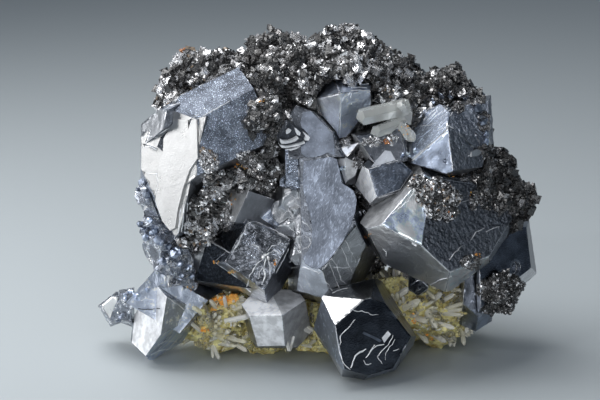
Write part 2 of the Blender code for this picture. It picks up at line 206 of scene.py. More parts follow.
class Recipe:
    """A material under construction. Patterns are measured in mm."""

    def __init__(self, name):
        self.material = bpy.data.materials.new(name)
        self.material.use_nodes = True
        self.tree = self.material.node_tree
        self.shader = self.tree.nodes["Principled BSDF"]
        self.coordinates = self.node("ShaderNodeTexCoord").outputs["Object"]

    def node(self, kind, settings=None, inputs=()):
        made = self.tree.nodes.new(kind)
        for key, value in (settings or {}).items():
            setattr(made, key, value)
        pairs = inputs.items() if isinstance(inputs, dict) else enumerate(inputs)
        for key, value in pairs:
            self.feed(made.inputs[key], value)
        return made

    def feed(self, socket, value):
        if isinstance(value, Flow):
            value = value.socket
        if isinstance(value, bpy.types.NodeSocket):
            self.tree.links.new(value, socket)
        else:
            socket.default_value = value

    def place(self, stretch=(1, 1, 1), turn=(0, 0, 0)):
        """Coordinates in mm, turned and then stretched."""
        turned = self.node("ShaderNodeMapping", {"vector_type": "TEXTURE"},
                           {"Vector": self.coordinates, "Rotation": [math.radians(a) for a in turn],
                            "Scale": [MM / s for s in stretch]})
        return turned.outputs[0]

    def noise(self, size, detail=2.0, rough=0.5, stretch=(1, 1, 1), turn=(0, 0, 0), bend=0.0):
        """Noise with features of about a size in mm."""
        made = self.node("ShaderNodeTexNoise", None, {
            "Vector": self.place(stretch, turn), "Scale": 1 / size, "Detail": detail,
            "Roughness": rough, "Distortion": bend})
        return Flow(self, made.outputs["Fac"])

    def cells(self, size):
        """Distance from the middles of cells of about a size in mm."""
        made = self.node("ShaderNodeTexVoronoi", None, {"Vector": self.place(), "Scale": 1 / size})
        return Flow(self, made.outputs["Distance"])

    def face_value(self, name):
        made = self.node("ShaderNodeAttribute", {"attribute_name": name})
        return Flow(self, made.outputs["Fac"])

    def blend(self, share, first, second):
        """Colour between two by a share."""
        made = self.node("ShaderNodeMix", {"data_type": "RGBA"}, {0: share, 6: first, 7: second})
        return made.outputs[2]

    def bump(self, height, depth, under=None):
        """Relief of a depth in mm."""
        inputs = {"Height": height, "Distance": depth * MM, "Strength": 1.0}
        if under is not None:
            inputs["Normal"] = under
        return self.node("ShaderNodeBump", None, inputs).outputs[0]

    def done(self, **values):
        for key, value in values.items():
            self.feed(self.shader.inputs[key.replace("_", " ").title().replace("Ior", "IOR")], value)
        return self.material


# Galena finishes. Each face has a level of its own, its brightness as a metal; the levels are partly the
# faces' own tone and partly painted light and shade, raised on faces in shade and lowered on some lit ones.
def tinted(r, level, blue=0.12):
    """Lead grey at a level, a little blue."""
    tint = (1 - 0.6 * blue, 1.0, 1 + 1.2 * blue)
    return r.node("ShaderNodeVectorMath", {"operation": "SCALE"}, {0: tint, "Scale": level}).outputs[0]


def galena_smooth(name, roughness=0.30, uneven=0.10, blue=0.20, contrast=0.28):
    """Clean crystal face, slightly uneven and clouded, with a few fine scratches."""
    r = Recipe(name)
    cloud = r.noise(4.5, 4, 0.6)
    fine = r.noise(0.4, 2)
    scratch = r.noise(0.45, 1, 0.5, (1, 1, 0.07), (10, 32, 0)).rise(0.62, 0.70)
    level = r.face_value("level") * (1 - contrast + cloud.rise(0.36, 0.64) * 2 * contrast)
    level = level * (0.9 + fine * 0.2 + scratch * contrast)
    relief = r.bump(fine, 0.03, r.bump(cloud, uneven))
    return r.done(base_color=tinted(r, level, blue), metallic=1.0,
                  roughness=roughness + (cloud - 0.5) * 0.2, normal=relief)


def galena_frosted(name, metallic=0.2):
    """Matt face dulled by a film; its paleness at high levels is partly painted light on faces in shade, and
    on rims and bands a painted highlight.
    """
    r = Recipe(name)
    cloud = r.noise(2.6, 4, 0.6)
    level = r.face_value("level") * (0.76 + cloud.rise(0.36, 0.64) * 0.42)
    relief = r.bump(r.noise(0.5, 2), 0.05, r.bump(cloud, 0.15))
    return r.done(base_color=tinted(r, level, 0.03), metallic=metallic, roughness=0.45, normal=relief)


def galena_stepped(name, roughness=0.28, step=0.10, size=6.0):
    """Face built up in low growth steps with winding rims."""
    r = Recipe(name)
    hill = r.noise(size, 2, 0.45, bend=0.6)
    steps = hill.math("SNAP", 0.07)
    rim = (1 - ((hill - steps) * 14 - 0.5).math("ABSOLUTE") * 2).rise(0.0, 0.30)
    cloud = r.noise(3, 3)
    level = r.face_value("level") * (0.75 + cloud * 0.5 + (1 - rim) * 0.5)
    relief = r.bump(r.noise(0.4, 2), 0.03, r.bump(steps, step * 14))
    return r.done(base_color=tinted(r, level, 0.04), metallic=1.0, roughness=roughness, normal=relief)


def galena_sandy(name, amount=0.43):
    """Face strewn with fine bright specks."""
    r = Recipe(name)
    specks = r.noise(0.30, 1, 0.5).rise(1 - amount, 1.08 - amount)
    patches = r.noise(5, 4, 0.6).rise(0.36, 0.64)
    level = r.face_value("level") * (0.55 + patches * 0.9)
    level = level + specks * (0.50 + patches * 0.45)
    relief = r.bump(specks, 0.10, r.bump(r.noise(0.6, 3, 0.7), 0.2))
    return r.done(base_color=tinted(r, level, 0.2), metallic=1 - specks * 0.7, roughness=0.40, normal=relief)


SCRATCH_TURN = 24


def galena_lined(name, turn, roughness=0.34, depth=0.12, contrast=0.6, stretch=0.2, metallic=1.0):
    """Satin face with fine wavy lines, and scratches at an angle to them."""
    r = Recipe(name)
    lines = r.noise(0.8, 3, 0.6, (1.0, 1.0, stretch), turn, 0.5)
    cloud = r.noise(6, 3)
    level = r.face_value("level") * (0.72 + cloud.rise(0.36, 0.64) * 0.56)
    across = (turn[0], turn[1] + SCRATCH_TURN, turn[2])
    scratch = r.noise(0.3, 1, 0.5, (1, 1, 0.04), across, 0.3).rise(0.60, 0.68)
    level = level * (1 + (lines.rise(0.54, 0.66) - 0.25 + scratch) * contrast)
    relief = r.bump(lines, depth, r.bump(cloud, 0.25))
    return r.done(base_color=tinted(r, level, 0.20), metallic=metallic,
                  roughness=roughness + (cloud - 0.5) * 0.2, normal=relief)


def galena_mottled(name):
    """Dark face in cloudy patches."""
    r = Recipe(name)
    cloud = r.noise(3.2, 5, 0.65)
    pale = r.noise(1.6, 4, 0.65).rise(0.56, 0.70)
    level = r.face_value("level") * (0.45 + cloud * 0.9 + pale * 1.3)
    relief = r.bump(cloud, 0.35, r.bump(r.noise(0.4, 2), 0.05))
    return r.done(base_color=tinted(r, level, 0.14), metallic=1.0, roughness=0.32, normal=relief)


def galena_etched(name):
    """Crinkled face with winding ridges; the ridges are real relief, and their lightening in broad patches is
    a painted highlight.
    """
    r = Recipe(name)
    wander = r.noise(2.0, 3, 0.6, bend=1.6)
    ridges = (1 - (wander - 0.5).math("ABSOLUTE") * 16).rise(0.0, 0.9)
    broad = r.noise(3.5, 2)
    # Ridges lightened where the broad noise is high: a painted highlight
    level = r.face_value("level") * (0.35 + broad * 0.7 + ridges * broad.rise(0.42, 0.62) * 2.8)
    relief = r.bump(ridges, 0.25, r.bump(broad, 1.2))
    return r.done(base_color=tinted(r, level, 0.12), metallic=1.0, roughness=0.26, normal=relief)


def galena_coarse(name):
    """Dark face roughened by tiny crystals."""
    r = Recipe(name)
    bits = r.noise(0.6, 4, 0.72)
    broad = r.noise(2.6, 3, 0.6)
    level = r.face_value("level") * (0.35 + broad * 0.7 + bits.rise(0.58, 0.72) * 1.8)
    relief = r.bump(r.cells(1.1), 0.45, r.bump(bits, 0.5, r.bump(broad, 0.9)))
    return r.done(base_color=tinted(r, level, 0.14), metallic=1.0, roughness=0.30, normal=relief)


# Sphalerite and quartz
SPHALERITE_IOR = 2.37
SPHALERITE_SHINE = 0.35
SILVER_FROM, TAN_FROM, ORANGE_FROM = 0.34, 0.95, 0.994


def sphalerite(name):
    """Black-brown crystals with etched silvery faces, some tan and a few orange."""
    r = Recipe(name)
    shade = r.face_value("shade")
    dark = r.blend(shade.rise(0.20, 0.5), (0.003, 0.003, 0.004, 1), (0.060, 0.052, 0.046, 1))
    silver = r.blend(shade.rise(0.36, 0.66), (0.25, 0.24, 0.24, 1), (0.95, 0.95, 0.97, 1))
    is_silver = shade.rise(SILVER_FROM, SILVER_FROM + 0.04)
    is_tan = shade.rise(TAN_FROM, TAN_FROM + 0.005)
    bright = r.blend(is_silver, dark, silver)
    tan = r.blend(is_tan, bright, (0.34, 0.25, 0.17, 1))
    stained = r.blend(shade.rise(ORANGE_FROM, ORANGE_FROM + 0.003), tan, (0.60, 0.20, 0.04, 1))
    etch = r.noise(0.55, 3, 0.65).rise(0.50, 0.60)
    colour = r.blend(etch * 0.85, stained, (0.010, 0.009, 0.009, 1))
    metal = is_silver * (1 - is_tan) * 0.75
    relief = r.bump(etch, 0.12)
    return r.done(base_color=colour, metallic=metal, roughness=0.20 + etch * 0.12, ior=SPHALERITE_IOR,
                  specular_ior_level=SPHALERITE_SHINE, normal=relief)


def sphalerite_ground(name):
    """The mass between the grains."""
    r = Recipe(name)
    bits = r.noise(0.8, 4, 0.7)
    colour = r.blend(bits.rise(0.5, 0.8), (0.003, 0.003, 0.003, 1), (0.05, 0.045, 0.04, 1))
    relief = r.bump(r.cells(0.9), 0.5, r.bump(bits, 0.4))
    return r.done(base_color=colour, roughness=0.32, ior=SPHALERITE_IOR,
                  specular_ior_level=SPHALERITE_SHINE, normal=relief)


QUARTZ_IOR = 1.544


def quartz_clear(name, pale, stained, clear, roughness):
    """Clear crystals, each one stained by its own share."""
    r = Recipe(name)
    haze = r.noise(1.2, 3)
    tint = r.blend(r.face_value("shade") + (haze - 0.5) * 0.6, pale, stained)
    relief = r.bump(r.noise(0.8, 2), 0.04)
    return r.done(base_color=tint, transmission_weight=clear, roughness=roughness, ior=QUARTZ_IOR,
                  normal=relief)


STAIN_AT = (-23.1, -15.0, 19.0)
STAIN_REACH = 6.5


def quartz_stained(name):
    """Yellow-green crust, brown in its hollows, with one orange patch."""
    r = Recipe(name)
    cloud = r.noise(3.0, 4, 0.6)
    fine = r.noise(0.7, 3, 0.6)
    colour = r.blend(cloud.rise(0.30, 0.60), (0.42, 0.30, 0.06, 1), (1.0, 0.92, 0.42, 1))
    colour = r.blend(fine.rise(0.5, 0.75), colour, (0.92, 0.90, 0.70, 1))
    centre = r.node("ShaderNodeVectorMath", {"operation": "DISTANCE"},
                    {0: r.place(), 1: STAIN_AT}).outputs["Value"]
    near = 1 - (Flow(r, centre) + cloud * 5).rise(STAIN_REACH * 0.6, STAIN_REACH * 1.2)
    colour = r.blend(near * 0.9, colour, (0.85, 0.36, 0.05, 1))
    relief = r.bump(r.cells(0.8), 0.5, r.bump(fine, 0.35))
    return r.done(base_color=colour, roughness=0.36, ior=QUARTZ_IOR, normal=relief)


def iron_stain(name, pale, deep):
    """Rusty grains between two colours."""
    r = Recipe(name)
    tone = r.noise(1.5, 2)
    colour = r.blend(tone.rise(0.35, 0.65), pale, deep)
    return r.done(base_color=colour, roughness=0.5)


FINISHES = {
    "edge": galena_smooth("galena_edge", 0.26, 0.05, 0.05),
    # Rims: pale matt galena, a painted highlight on the growth steps
    "rim": galena_frosted("galena_rim", 0.5),
    "plain": galena_smooth("galena_plain"),
    "clean": galena_smooth("galena_clean", 0.30, 0.04, 0.0, 0.06),
    "satin": galena_smooth("galena_satin", 0.48, 0.08, 0.08, 0.14),
    "frosted": galena_frosted("galena_frosted"),
    "mirror": galena_smooth("galena_mirror", 0.15, 0.02, 0.2, 0.3),
    "stepped": galena_stepped("galena_stepped"),
    "sandy": galena_sandy("galena_sandy"),
    "brushed": galena_lined("galena_brushed", (0, 8, 0)),
    "scratched": galena_lined("galena_scratched", (0, 40, 0), 0.30, 0.1, 0.9),
    "banded": galena_lined("galena_banded", (0, 50, 0), 0.32, 0.3, 1.4, 0.12, 0.6),
    "striated": galena_lined("galena_striated", (0, 70, 20), 0.26, 0.35, 1.2, 0.12),
    "mottled": galena_mottled("galena_mottled"),
    "etched": galena_etched("galena_etched"),
    "coarse": galena_coarse("galena_coarse"),
}

# How far a face of each finish strays from flat, in mm, and over what length
RELIEF = {
    "edge": (0.06, 2.0), "plain": (0.10, 4.0), "clean": (0.03, 6.0), "satin": (0.06, 3.0),
    "frosted": (0.08, 2.5), "mirror": (0.03, 5.0), "stepped": (0.16, 4.0), "sandy": (0.08, 2.5),
    "brushed": (0.08, 6.0), "scratched": (0.08, 4.0), "banded": (0.15, 2.0), "striated": (0.18, 2.0),
    "mottled": (0.14, 3.0), "etched": (0.30, 1.8), "coarse": (0.40, 1.6),
}

# Main faces of each crystal group: bearing, rise, finish and level; each level is partly the face's own tone
# and partly painted light and shade, so faces in shade are lighter and some lit faces darker than their tone
# alone
FACES = {
    "galena_left": [(-24, 61, "sandy", 0.12), (22, 7, "sandy", 0.26), (-38, 7, "clean", 0.46),
                    (-87, 1, "stepped", 0.6), (50, -1, "coarse", 0.4), (-65, 14, "stepped", 0.6),
                    (47, -49, "satin", 0.3), (73, -13, "satin", 0.3), (-87, 42, "stepped", 0.6)],
    "galena_centre": [(0, 16, "mottled", 0.17), (39, -14, "stepped", 0.5), (-30, -33, "satin", 0.8),
                      (-1, 22, "mottled", 0.12), (87, 20, "plain", 0.3), (72, -21, "mottled", 0.3),
                      (-12, 6, "striated", 0.22), (-34, 53, "stepped", 0.85)],
    "galena_right": [(-75, 50, "frosted", 0.45), (13, 29, "plain", 1.0), (-28, -39, "mottled", 1.5),
                     (43, 18, "coarse", 0.24), (48, -36, "mottled", 1.2), (79, 67, "coarse", 0.3),
                     (69, -19, "coarse", 0.3)],
    "galena_upper_right": [(-33, 16, "plain", 0.62), (59, 18, "coarse", 0.35), (-66, 38, "stepped", 0.9),
                           (68, 38, "coarse", 0.5), (30, 16, "coarse", 0.6), (82, 4, "coarse", 0.4)],
    "galena_top": [(-46, -13, "satin", 0.86), (-77, 54, "plain", 0.35), (42, -16, "mottled", 0.85),
                   (71, 81, "plain", 0.6)],
    "galena_middle": [(14, 26, "scratched", 0.22), (-64, -4, "frosted", 1.0), (-62, 74, "mottled", 0.4)],
    "galena_front": [(-13, 46, "clean", 0.75), (24, 8, "mirror", 0.06), (-70, -10, "mottled", 0.5),
                     (72, 63, "plain", 0.15), (92, 36, "plain", 0.12), (72, -25, "plain", 0.3),
                     (39, -60, "plain", 0.3), (0, 84, "stepped", 0.25), (-20, -60, "plain", 0.15)],
    "galena_front_left": [(-45, 68, "frosted", 1.0), (-20, -30, "frosted", 0.80), (19, 78, "frosted", 0.6),
                          (58, -14, "frosted", 0.35)],
    "galena_centre_left": [(-8, 17, "etched", 0.20), (-72, 32, "striated", 0.20), (65, -21, "mottled", 0.3),
                           (-29, -12, "striated", 0.035), (-62, 22, "frosted", 0.5), (24, -8, "satin", 0.25)],
    "galena_lower_left": [(-59, 11, "frosted", 0.70), (-34, 0, "clean", 0.8), (22, 14, "mottled", 0.85),
                          (76, 54, "plain", 0.4), (56, -39, "scratched", 0.9), (51, -4, "mottled", 0.6)],
    "galena_nest": [(-6, 20, "clean", 0.8), (-58, -4, "frosted", 1.0), (29, 2, "frosted", 0.6),
                    (-72, -28, "frosted", 0.7), (-7, 32, "mottled", 0.14)],
    "galena_far_right": [(40, 10, "mirror", 0.14), (83, 8, "plain", 0.12)],
    "galena_lower_right": [(24, 11, "mottled", 0.30), (-41, -37, "plain", 0.3), (51, -35, "plain", 0.5)],
}
# Levels of the remaining faces, also partly painted light and shade
OTHER_FACES = ("stepped", 0.5)
OTHERS = {"galena_lower_left": ("etched", 0.45), "galena_small": ("etched", 0.12),
          "galena_left": ("coarse", 0.5)}
FACE_MATCH = math.cos(math.radians(10))
# Eased edges: width in mm and level, the level a painted highlight that keeps the edges lighter than most
# faces, and the longest edge of a face that carries relief, in mm
EDGE = 0.14
EDGE_HIGHLIGHT_LEVEL = 0.5
FINE = 1.0


def facing(bearing, rise):
    """Direction from a bearing, 0 towards the viewer, and a rise."""
    b, r = math.radians(bearing), math.radians(rise)
    return Vector((math.sin(b) * math.cos(r), -math.cos(b) * math.cos(r), math.sin(r)))


def best_face(ways, normal, other):
    """Finish and level of the listed face that a face belongs to."""
    best, found = FACE_MATCH, other
    for way, finish, level in ways:
        match = normal.dot(way)
        if match > best:
            best, found = match, (finish, level)
    return found


def refine(piece, limit):
    """Splits long edges until the faces can carry relief."""
    shape = bmesh.new()
    shape.from_mesh(piece.data)
    bmesh.ops.triangulate(shape, faces=shape.faces[:])
    for _ in range(10):
        long = [edge for edge in shape.edges if edge.calc_length() > limit * MM]
        if not long:
            break
        bmesh.ops.subdivide_edges(shape, edges=long, cuts=1)
        bmesh.ops.triangulate(shape, faces=[face for face in shape.faces if len(face.verts) > 3])
    shape.to_mesh(piece.data)
    shape.free()


def set_finishes(piece, ways, other):
    """Gives each face its finish and its level."""
    used = ["edge"]
    levels = []
    for face in piece.data.polygons:
        finish, level = best_face(ways, face.normal, other)
        if finish not in used:
            used.append(finish)
        face.material_index = used.index(finish)
        levels.append(level)
    for finish in used:
        piece.data.materials.append(FINISHES[finish])
    shade_of(piece, "level", levels)
    return used


def weather(piece, used):
    """Moves the surface off flat by as much as each finish strays."""
    amount = np.zeros(len(piece.data.vertices))
    length = np.ones(len(piece.data.vertices)) * 3
    share = np.zeros(len(piece.data.vertices))
    for face in piece.data.polygons:
        height, size = RELIEF[used[face.material_index]]
        for i in face.vertices:
            amount[i] += height
            length[i] = size
            share[i] += 1
    normals = [v.normal.copy() for v in piece.data.vertices]
    for i, vertex in enumerate(piece.data.vertices):
        at = vertex.co / MM / length[i]
        push = noise.noise(at) + 0.5 * noise.noise(at * 2.3)
        vertex.co += normals[i] * push * amount[i] / share[i] * MM


def galena_group(node):
    """A crystal group with eased edges and a finish on each face."""
    piece = copy_of(node, node + "_crystals")
    for pit in PITS.get(node, []):
        cut_pit(piece, *pit)
    for crack in CRACKS.get(node, []):
        cut_crack(piece, *crack)
    ways = [(facing(bearing, rise), finish, level) for bearing, rise, finish, level in FACES.get(node, [])]
    used = set_finishes(piece, ways, OTHERS.get(node, OTHER_FACES))
    apply(piece, "BEVEL", width=EDGE * MM, segments=1, limit_method="ANGLE", angle_limit=math.radians(25),
          use_clamp_overlap=True, material=0)
    # The eased edges all get one lighter level, a painted highlight along them
    for face, level in zip(piece.data.polygons, piece.data.attributes["level"].data):
        if face.material_index == 0:
            level.value = EDGE_HIGHLIGHT_LEVEL
    refine(piece, FINE)
    weather(piece, used)
    choose(piece)
    bpy.ops.object.shade_smooth_by_angle(angle=math.radians(24))
    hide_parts(node)
    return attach(piece, BODY)


# Places in the frame, found on the solids
SKIN = tree_of(list(NODES.values()))


def seen(across, down):
    """Point and direction of the surface seen at a place in the frame."""
    point, normal, _, _ = SKIN.ray_cast(EYE, toward(across, down))
    return point, normal


def on_plane(across, down, point, normal):
    """Where the ray through a place in the frame meets a plane."""
    ray = toward(across, down)
    return EYE + ray * ((point - EYE).dot(normal) / ray.dot(normal))


# A bar on the surface: the distance of its stations in the frame, how far it wanders in mm, and how high
# its sides are as a share of its height
STATION = 3
WANDER = 0.35
SIDE_SHARE = 0.2


def swelling(share, point):
    """Width of a bar along its length, thin at the ends and uneven."""
    return 0.45 + 0.75 * math.sin(math.pi * share) + 0.8 * noise.noise(point / MM)


def strip(line, width, heights):
    """Points and triangles of a bar laid on the surface along places in the frame."""
    stations = []
    for (x0, y0), (x1, y1) in zip(line, line[1:]):
        steps = max(1, round(math.hypot(x1 - x0, y1 - y0) / STATION))
        stations += [(x0 + (x1 - x0) * k / steps, y0 + (y1 - y0) * k / steps) for k in range(steps)]
    stations.append(line[-1])
    hits = [seen(*station) for station in stations]
    hits = [hit for hit in hits if hit[0] is not None]
    points, faces = [], []
    top, bottom = heights
    for i, (point, normal) in enumerate(hits):
        before, after = hits[max(i - 1, 0)][0], hits[min(i + 1, len(hits) - 1)][0]
        swell = swelling((i + 0.5) / len(hits), point)
        side = (after - before).cross(normal).normalized() * width / 2 * swell * MM
        point = point + side.normalized() * noise.noise(point / MM * 1.3) * WANDER * MM
        shoulder = normal * top * MM * SIDE_SHARE
        points += [point + side + shoulder, point - side + shoulder,
                   point + normal * top * MM, point - normal * bottom * MM]
    for i in range(len(hits) - 1):
        here, there = 4 * i, 4 * i + 4
        for a, b in ((0, 2), (2, 1), (1, 3), (3, 0)):
            faces += [(here + a, there + a, there + b), (here + a, there + b, here + b)]
    last = 4 * (len(hits) - 1)
    faces += [(0, 2, 1), (0, 1, 3), (last, last + 1, last + 2), (last, last + 3, last + 1)]
    return points, faces


# Holes in the crystals: place in the frame, radius and depth in mm
PITS = {
    "galena_upper_right": [(445, 161, 0.62, 1.2)],
    "galena_far_right": [(516, 268, 1.7, 1.6)],
    "galena_lower_left": [(174, 281, 0.8, 1.0)],
    "galena_centre": [(295, 272, 0.45, 0.8), (311, 222, 0.35, 0.6)],
    "galena_front_left": [(267, 352, 0.35, 0.5)],
}


def cut_pit(piece, across, down, radius, depth):
    """Drills a round hole at a place in the frame."""
    point, normal = seen(across, down)
    deselect()
    bpy.ops.mesh.primitive_cylinder_add(vertices=14, radius=radius * MM, depth=depth * 2 * MM)
    cutter = bpy.context.object
    cutter.rotation_euler = normal.to_track_quat("Z", "Y").to_euler()
    cutter.location = point
    apply(piece, "BOOLEAN", operation="DIFFERENCE", object=cutter, solver="EXACT")
    bpy.data.objects.remove(cutter, do_unlink=True)


# How far a crack's cutter stands out of the face, in mm
CUT_ABOVE = 0.3


def cut_crack(piece, line, width, depth):
    """Cuts a crack along places in the frame."""
    cutter = mesh_piece("cutter", *strip(line, width, (CUT_ABOVE, depth)), FINISHES["edge"])
    apply(piece, "BOOLEAN", operation="DIFFERENCE", object=cutter, solver="EXACT")
    bpy.data.objects.remove(cutter, do_unlink=True)


# Cracks: places in the frame, width and depth in mm
CRACKS = {
    "galena_upper_right": [(((459, 133), (468, 143), (475, 149), (483, 152)), 0.5, 1.0),
                           (((475, 133), (479, 142), (483, 151)), 0.5, 1.0)],
    "galena_lower_left": [(((138, 309), (148, 309.5), (160, 309)), 0.28, 0.5)],
    "galena_left": [(((190.5, 118), (190, 129)), 0.5, 0.6),
                    (((141, 144), (149, 145), (157, 148.5)), 0.3, 0.4)],
}


# Thin rims of growth steps, near-white and matt as painted highlights: width and height in mm, then the rims'
# places in the frame
RIMS = {
    (0.42, 0.22): (((198, 119), (208, 113), (219, 107), (230, 101)),),
    (0.3, 0.15): (((188, 120), (199, 114.5)), ((378, 198), (388, 195), (397, 193))),
    (0.4, 0.2): (((163, 111), (170, 106), (180, 103)),),
    (0.35, 0.2): (((156, 135.5), (164, 131), (172, 127)), ((332, 293), (340, 290), (348, 288)),
        ((209, 241), (220, 247), (231, 253))),
    (0.25, 0.15): (((142, 137), (150, 136), (158, 137.5)), ((142, 149), (150, 146), (157, 150)),
        ((350, 98), (352, 93), (361, 93.5)), ((354, 149), (354, 155), (360, 162), (366, 168)),
        ((393, 351), (399, 349)), ((326, 154.5), (333, 160)),
        ((287, 238), (290, 246), (284, 258), (276, 273)), ((141, 301), (145, 298), (153, 300), (153, 308)),
        ((158, 345), (165, 341), (173, 341), (178, 343)), ((150, 355), (158, 351), (168, 349))),
    (0.3, 0.2): (((146, 173), (157, 174), (158, 185), (156, 193)), ((352, 88), (358, 87), (367, 88)),
        ((340, 149), (348, 146), (358, 143.5), (371, 142)), ((336, 146), (341, 151), (346, 156)),
        ((439, 127), (446, 119), (455, 110)), ((371, 351), (375, 345)),
        ((364, 360), (366, 364), (371, 364)), ((267, 257), (270, 266), (270, 277)),
        ((268, 255), (275, 259), (279, 266)), ((268, 254), (275, 250), (281, 254)),
        ((285, 222), (293, 220), (302, 221), (309, 227), (312, 232))),
    (0.5, 0.3): (((181, 208), (180, 220), (178, 233)), ((184, 204), (183, 218), (181, 232)),
        ((187, 203), (187, 216), (185, 230)), ((418, 118), (428, 109), (440, 99)), ((412, 243), (416, 246))),
    (0.4, 0.3): (((190, 206), (190, 216), (188, 226)), ((424, 120), (434, 111), (441, 103)),
        ((440, 114.5), (447, 109), (453, 102)), ((420, 126.5), (430, 125), (438, 122.5))),
    (0.25, 0.12): (((341, 95), (340.5, 112), (340, 130)), ((320, 100), (331, 96.5), (341, 93.5)),
        ((323, 272), (325, 280), (332, 291))),
    (0.45, 0.25): (((342, 101), (343.5, 97), (348, 95.5), (351, 91), (360, 90.5), (369, 91)),
        ((248, 223), (243, 234), (238, 244), (233, 252))),
    (0.2, 0.1): (((349, 109), (352, 103), (358, 101), (366, 100)),),
    (0.22, 0.12): (((370, 169), (384, 164), (398, 160.5)), ((392, 214), (408, 201), (414, 192), (424, 178)),
        ((332, 259), (337, 265), (339, 273), (341, 280), (349, 286))),
    (0.28, 0.15): (((410, 163), (422, 152), (435, 141), (447, 131)),
        ((335.5, 326), (337.5, 340), (339.5, 352), (343, 362), (350, 370))),
    (0.2, 0.12): (((415, 158), (419, 153), (423, 148)),
        ((347, 311), (350, 309), (358, 312), (362, 311), (368, 313), (373, 315), (379, 315)),
        ((395, 339), (390, 347), (386, 353), (385, 360)), ((329, 262), (332, 270), (336, 280), (340, 290)),
        ((341, 247), (345, 255), (350, 268), (353, 274)), ((156, 312), (156, 326), (155, 340)),
        ((175, 321), (183, 319), (189, 319))),
    (0.6, 0.35): (((438, 131), (443, 128.5), (448, 126.5), (453, 128)),),
    (0.22, 0.1): (((448.5, 131), (450.5, 150), (453, 170)),),
    (0.3, 0.25): (((427, 121), (436, 112), (442, 106)),),
    (0.35, 0.25): (((441, 118), (448, 112), (455, 105)), ((265, 257), (257, 264), (252, 272), (247, 281)),
        ((249, 281), (246, 288), (251, 292))),
    (0.32, 0.2): (((355, 319), (352, 323), (348, 328), (343, 332), (340, 336), (340.5, 342), (339, 350)),
        ((291, 268), (302, 267), (312, 269.5), (319, 273.5), (324, 267), (332, 258))),
    (0.5, 0.28): (((351, 368), (352.5, 362), (355, 356), (359.5, 352), (366, 349)),),
    (0.38, 0.22): (((366, 358), (370, 353), (374, 348), (380, 344.5), (384, 344)),),
    (0.24, 0.15): (((393, 335), (390, 342), (384, 349), (380, 353), (378, 357), (382, 364)),),
    (0.18, 0.1): (((330, 267), (345, 268), (355, 266)), ((345, 240), (350, 250), (356, 262)),
        ((296, 276), (300, 284), (304, 292)), ((304, 272), (307, 282), (312, 290))),
    (0.4, 0.25): (((384, 249), (387, 252), (386, 256)),
        ((248, 223), (256, 221.5), (267, 227), (277, 231.5), (287, 237)),
        ((266, 257), (264, 268), (266, 276), (262, 285))),
    (0.25, 0.2): (((267, 252), (272, 246), (279, 245), (281, 239)), ((264, 266), (260, 272), (258, 279)),
        ((283, 214), (287, 211), (292, 213), (294, 218)),
        ((297, 237), (303, 235), (309, 238), (311, 243), (308, 248), (303, 249), (298, 245)),
        ((290, 262), (293, 259), (296, 262)), ((290, 195), (295, 198), (297, 204), (302, 208)),
        ((430, 285), (440, 280), (452, 276))),
    (0.22, 0.15): (((263, 253), (258, 247), (252, 244)), ((272, 262), (275, 268), (274, 273))),
    (0.3, 0.18): (((168, 298), (177, 304), (186, 311)),),
    (0.25, 0.5): (((456, 207), (462, 202), (471, 200)),),
    (0.35, 0.55): (((486, 232), (492, 228), (499, 226)),),
    (0.4, 0.55): (((468, 156), (474, 153), (481, 154)),),
    (0.3, 0.5): (((449, 260), (455, 252), (462, 246)), ((470, 240), (476, 232), (484, 228))),
}

# Growth plates that stand a little proud: outline in the frame, height in mm, finish and level; each level is
# partly the plate's own tone and partly painted light and shade
PLATES = (
    (((178, 118.5), (189, 119.5), (189.5, 129), (192.5, 120), (197.5, 119), (198.5, 140), (199, 158),
      (191, 170), (184, 189), (179, 209), (176, 228), (171, 231), (163, 221), (156, 201), (159, 185),
      (158.5, 174), (160, 160), (163.5, 153), (164.5, 138), (171, 127)), 0.45, "clean", 0.5),
    (((160.5, 137), (170, 128.5), (164, 138), (163, 152), (157, 147)), 0.08, "coarse", 0.12),
    (((304, 161), (314, 159.5), (322, 158), (330, 156.5), (337, 159), (340, 172), (342, 183), (349, 187),
      (354, 191), (357, 200), (355.5, 212), (351, 226), (343, 242), (331, 258), (325, 265), (318.5, 269.5),
      (311, 267.5), (305, 264), (303, 257), (309, 250), (312, 240), (312, 228), (310, 215), (307, 205),
      (303, 190), (302, 175)), 0.4, "brushed", 0.175),
    (((411.5, 159), (446, 129.5), (449, 112), (440, 104), (426, 112), (413, 127)), 0.12, "banded", 0.65),
    (((301, 154), (306, 158), (314, 158), (322, 156), (328, 153), (335, 156), (335, 145), (333, 134),
      (326, 126), (317, 117), (311, 111), (303, 112), (300, 122), (303, 133), (300, 145)),
     0.45, "plain", 0.19),
    (((277, 136), (280, 131), (284, 124), (287, 120), (293, 124), (299, 127), (304, 129.5), (308.5, 134.5),
      (303, 141), (296, 146), (288, 148.5), (281, 147), (277, 141)), 1.1, "coarse", 0.12),
    (((261, 218), (267, 212), (274, 206), (277, 214), (281, 226), (279, 230.5), (271, 225)),
     0.5, "banded", 0.9),
    (((346, 84), (348, 80.5), (353, 79), (356.5, 83), (356, 87), (348, 87)), 0.3, "clean", 0.95),
    (((361, 85), (362, 81), (367, 80), (369, 84)), 0.3, "clean", 0.95),
    (((381.5, 338), (388, 330.5), (391, 334), (384, 343)), 0.15, "frosted", 1.0),
    (((363, 331.5), (372, 335), (382, 340.5), (380, 342.5), (371, 338), (362, 333.5)), 0.12, "plain", 0.2),
    (((470, 152), (475, 149), (481, 151), (478, 156), (470, 157)), 0.5, "clean", 0.8),
    (((465, 175), (473, 173), (474, 180), (467, 182)), 0.5, "satin", 0.6),
    (((341, 149), (357, 144.5), (352, 150), (346, 156)), 0.2, "satin", 0.8),
    (((370, 168), (378, 158), (385, 150), (391, 151), (396, 160), (384, 164)), 0.15, "satin", 0.55),
)
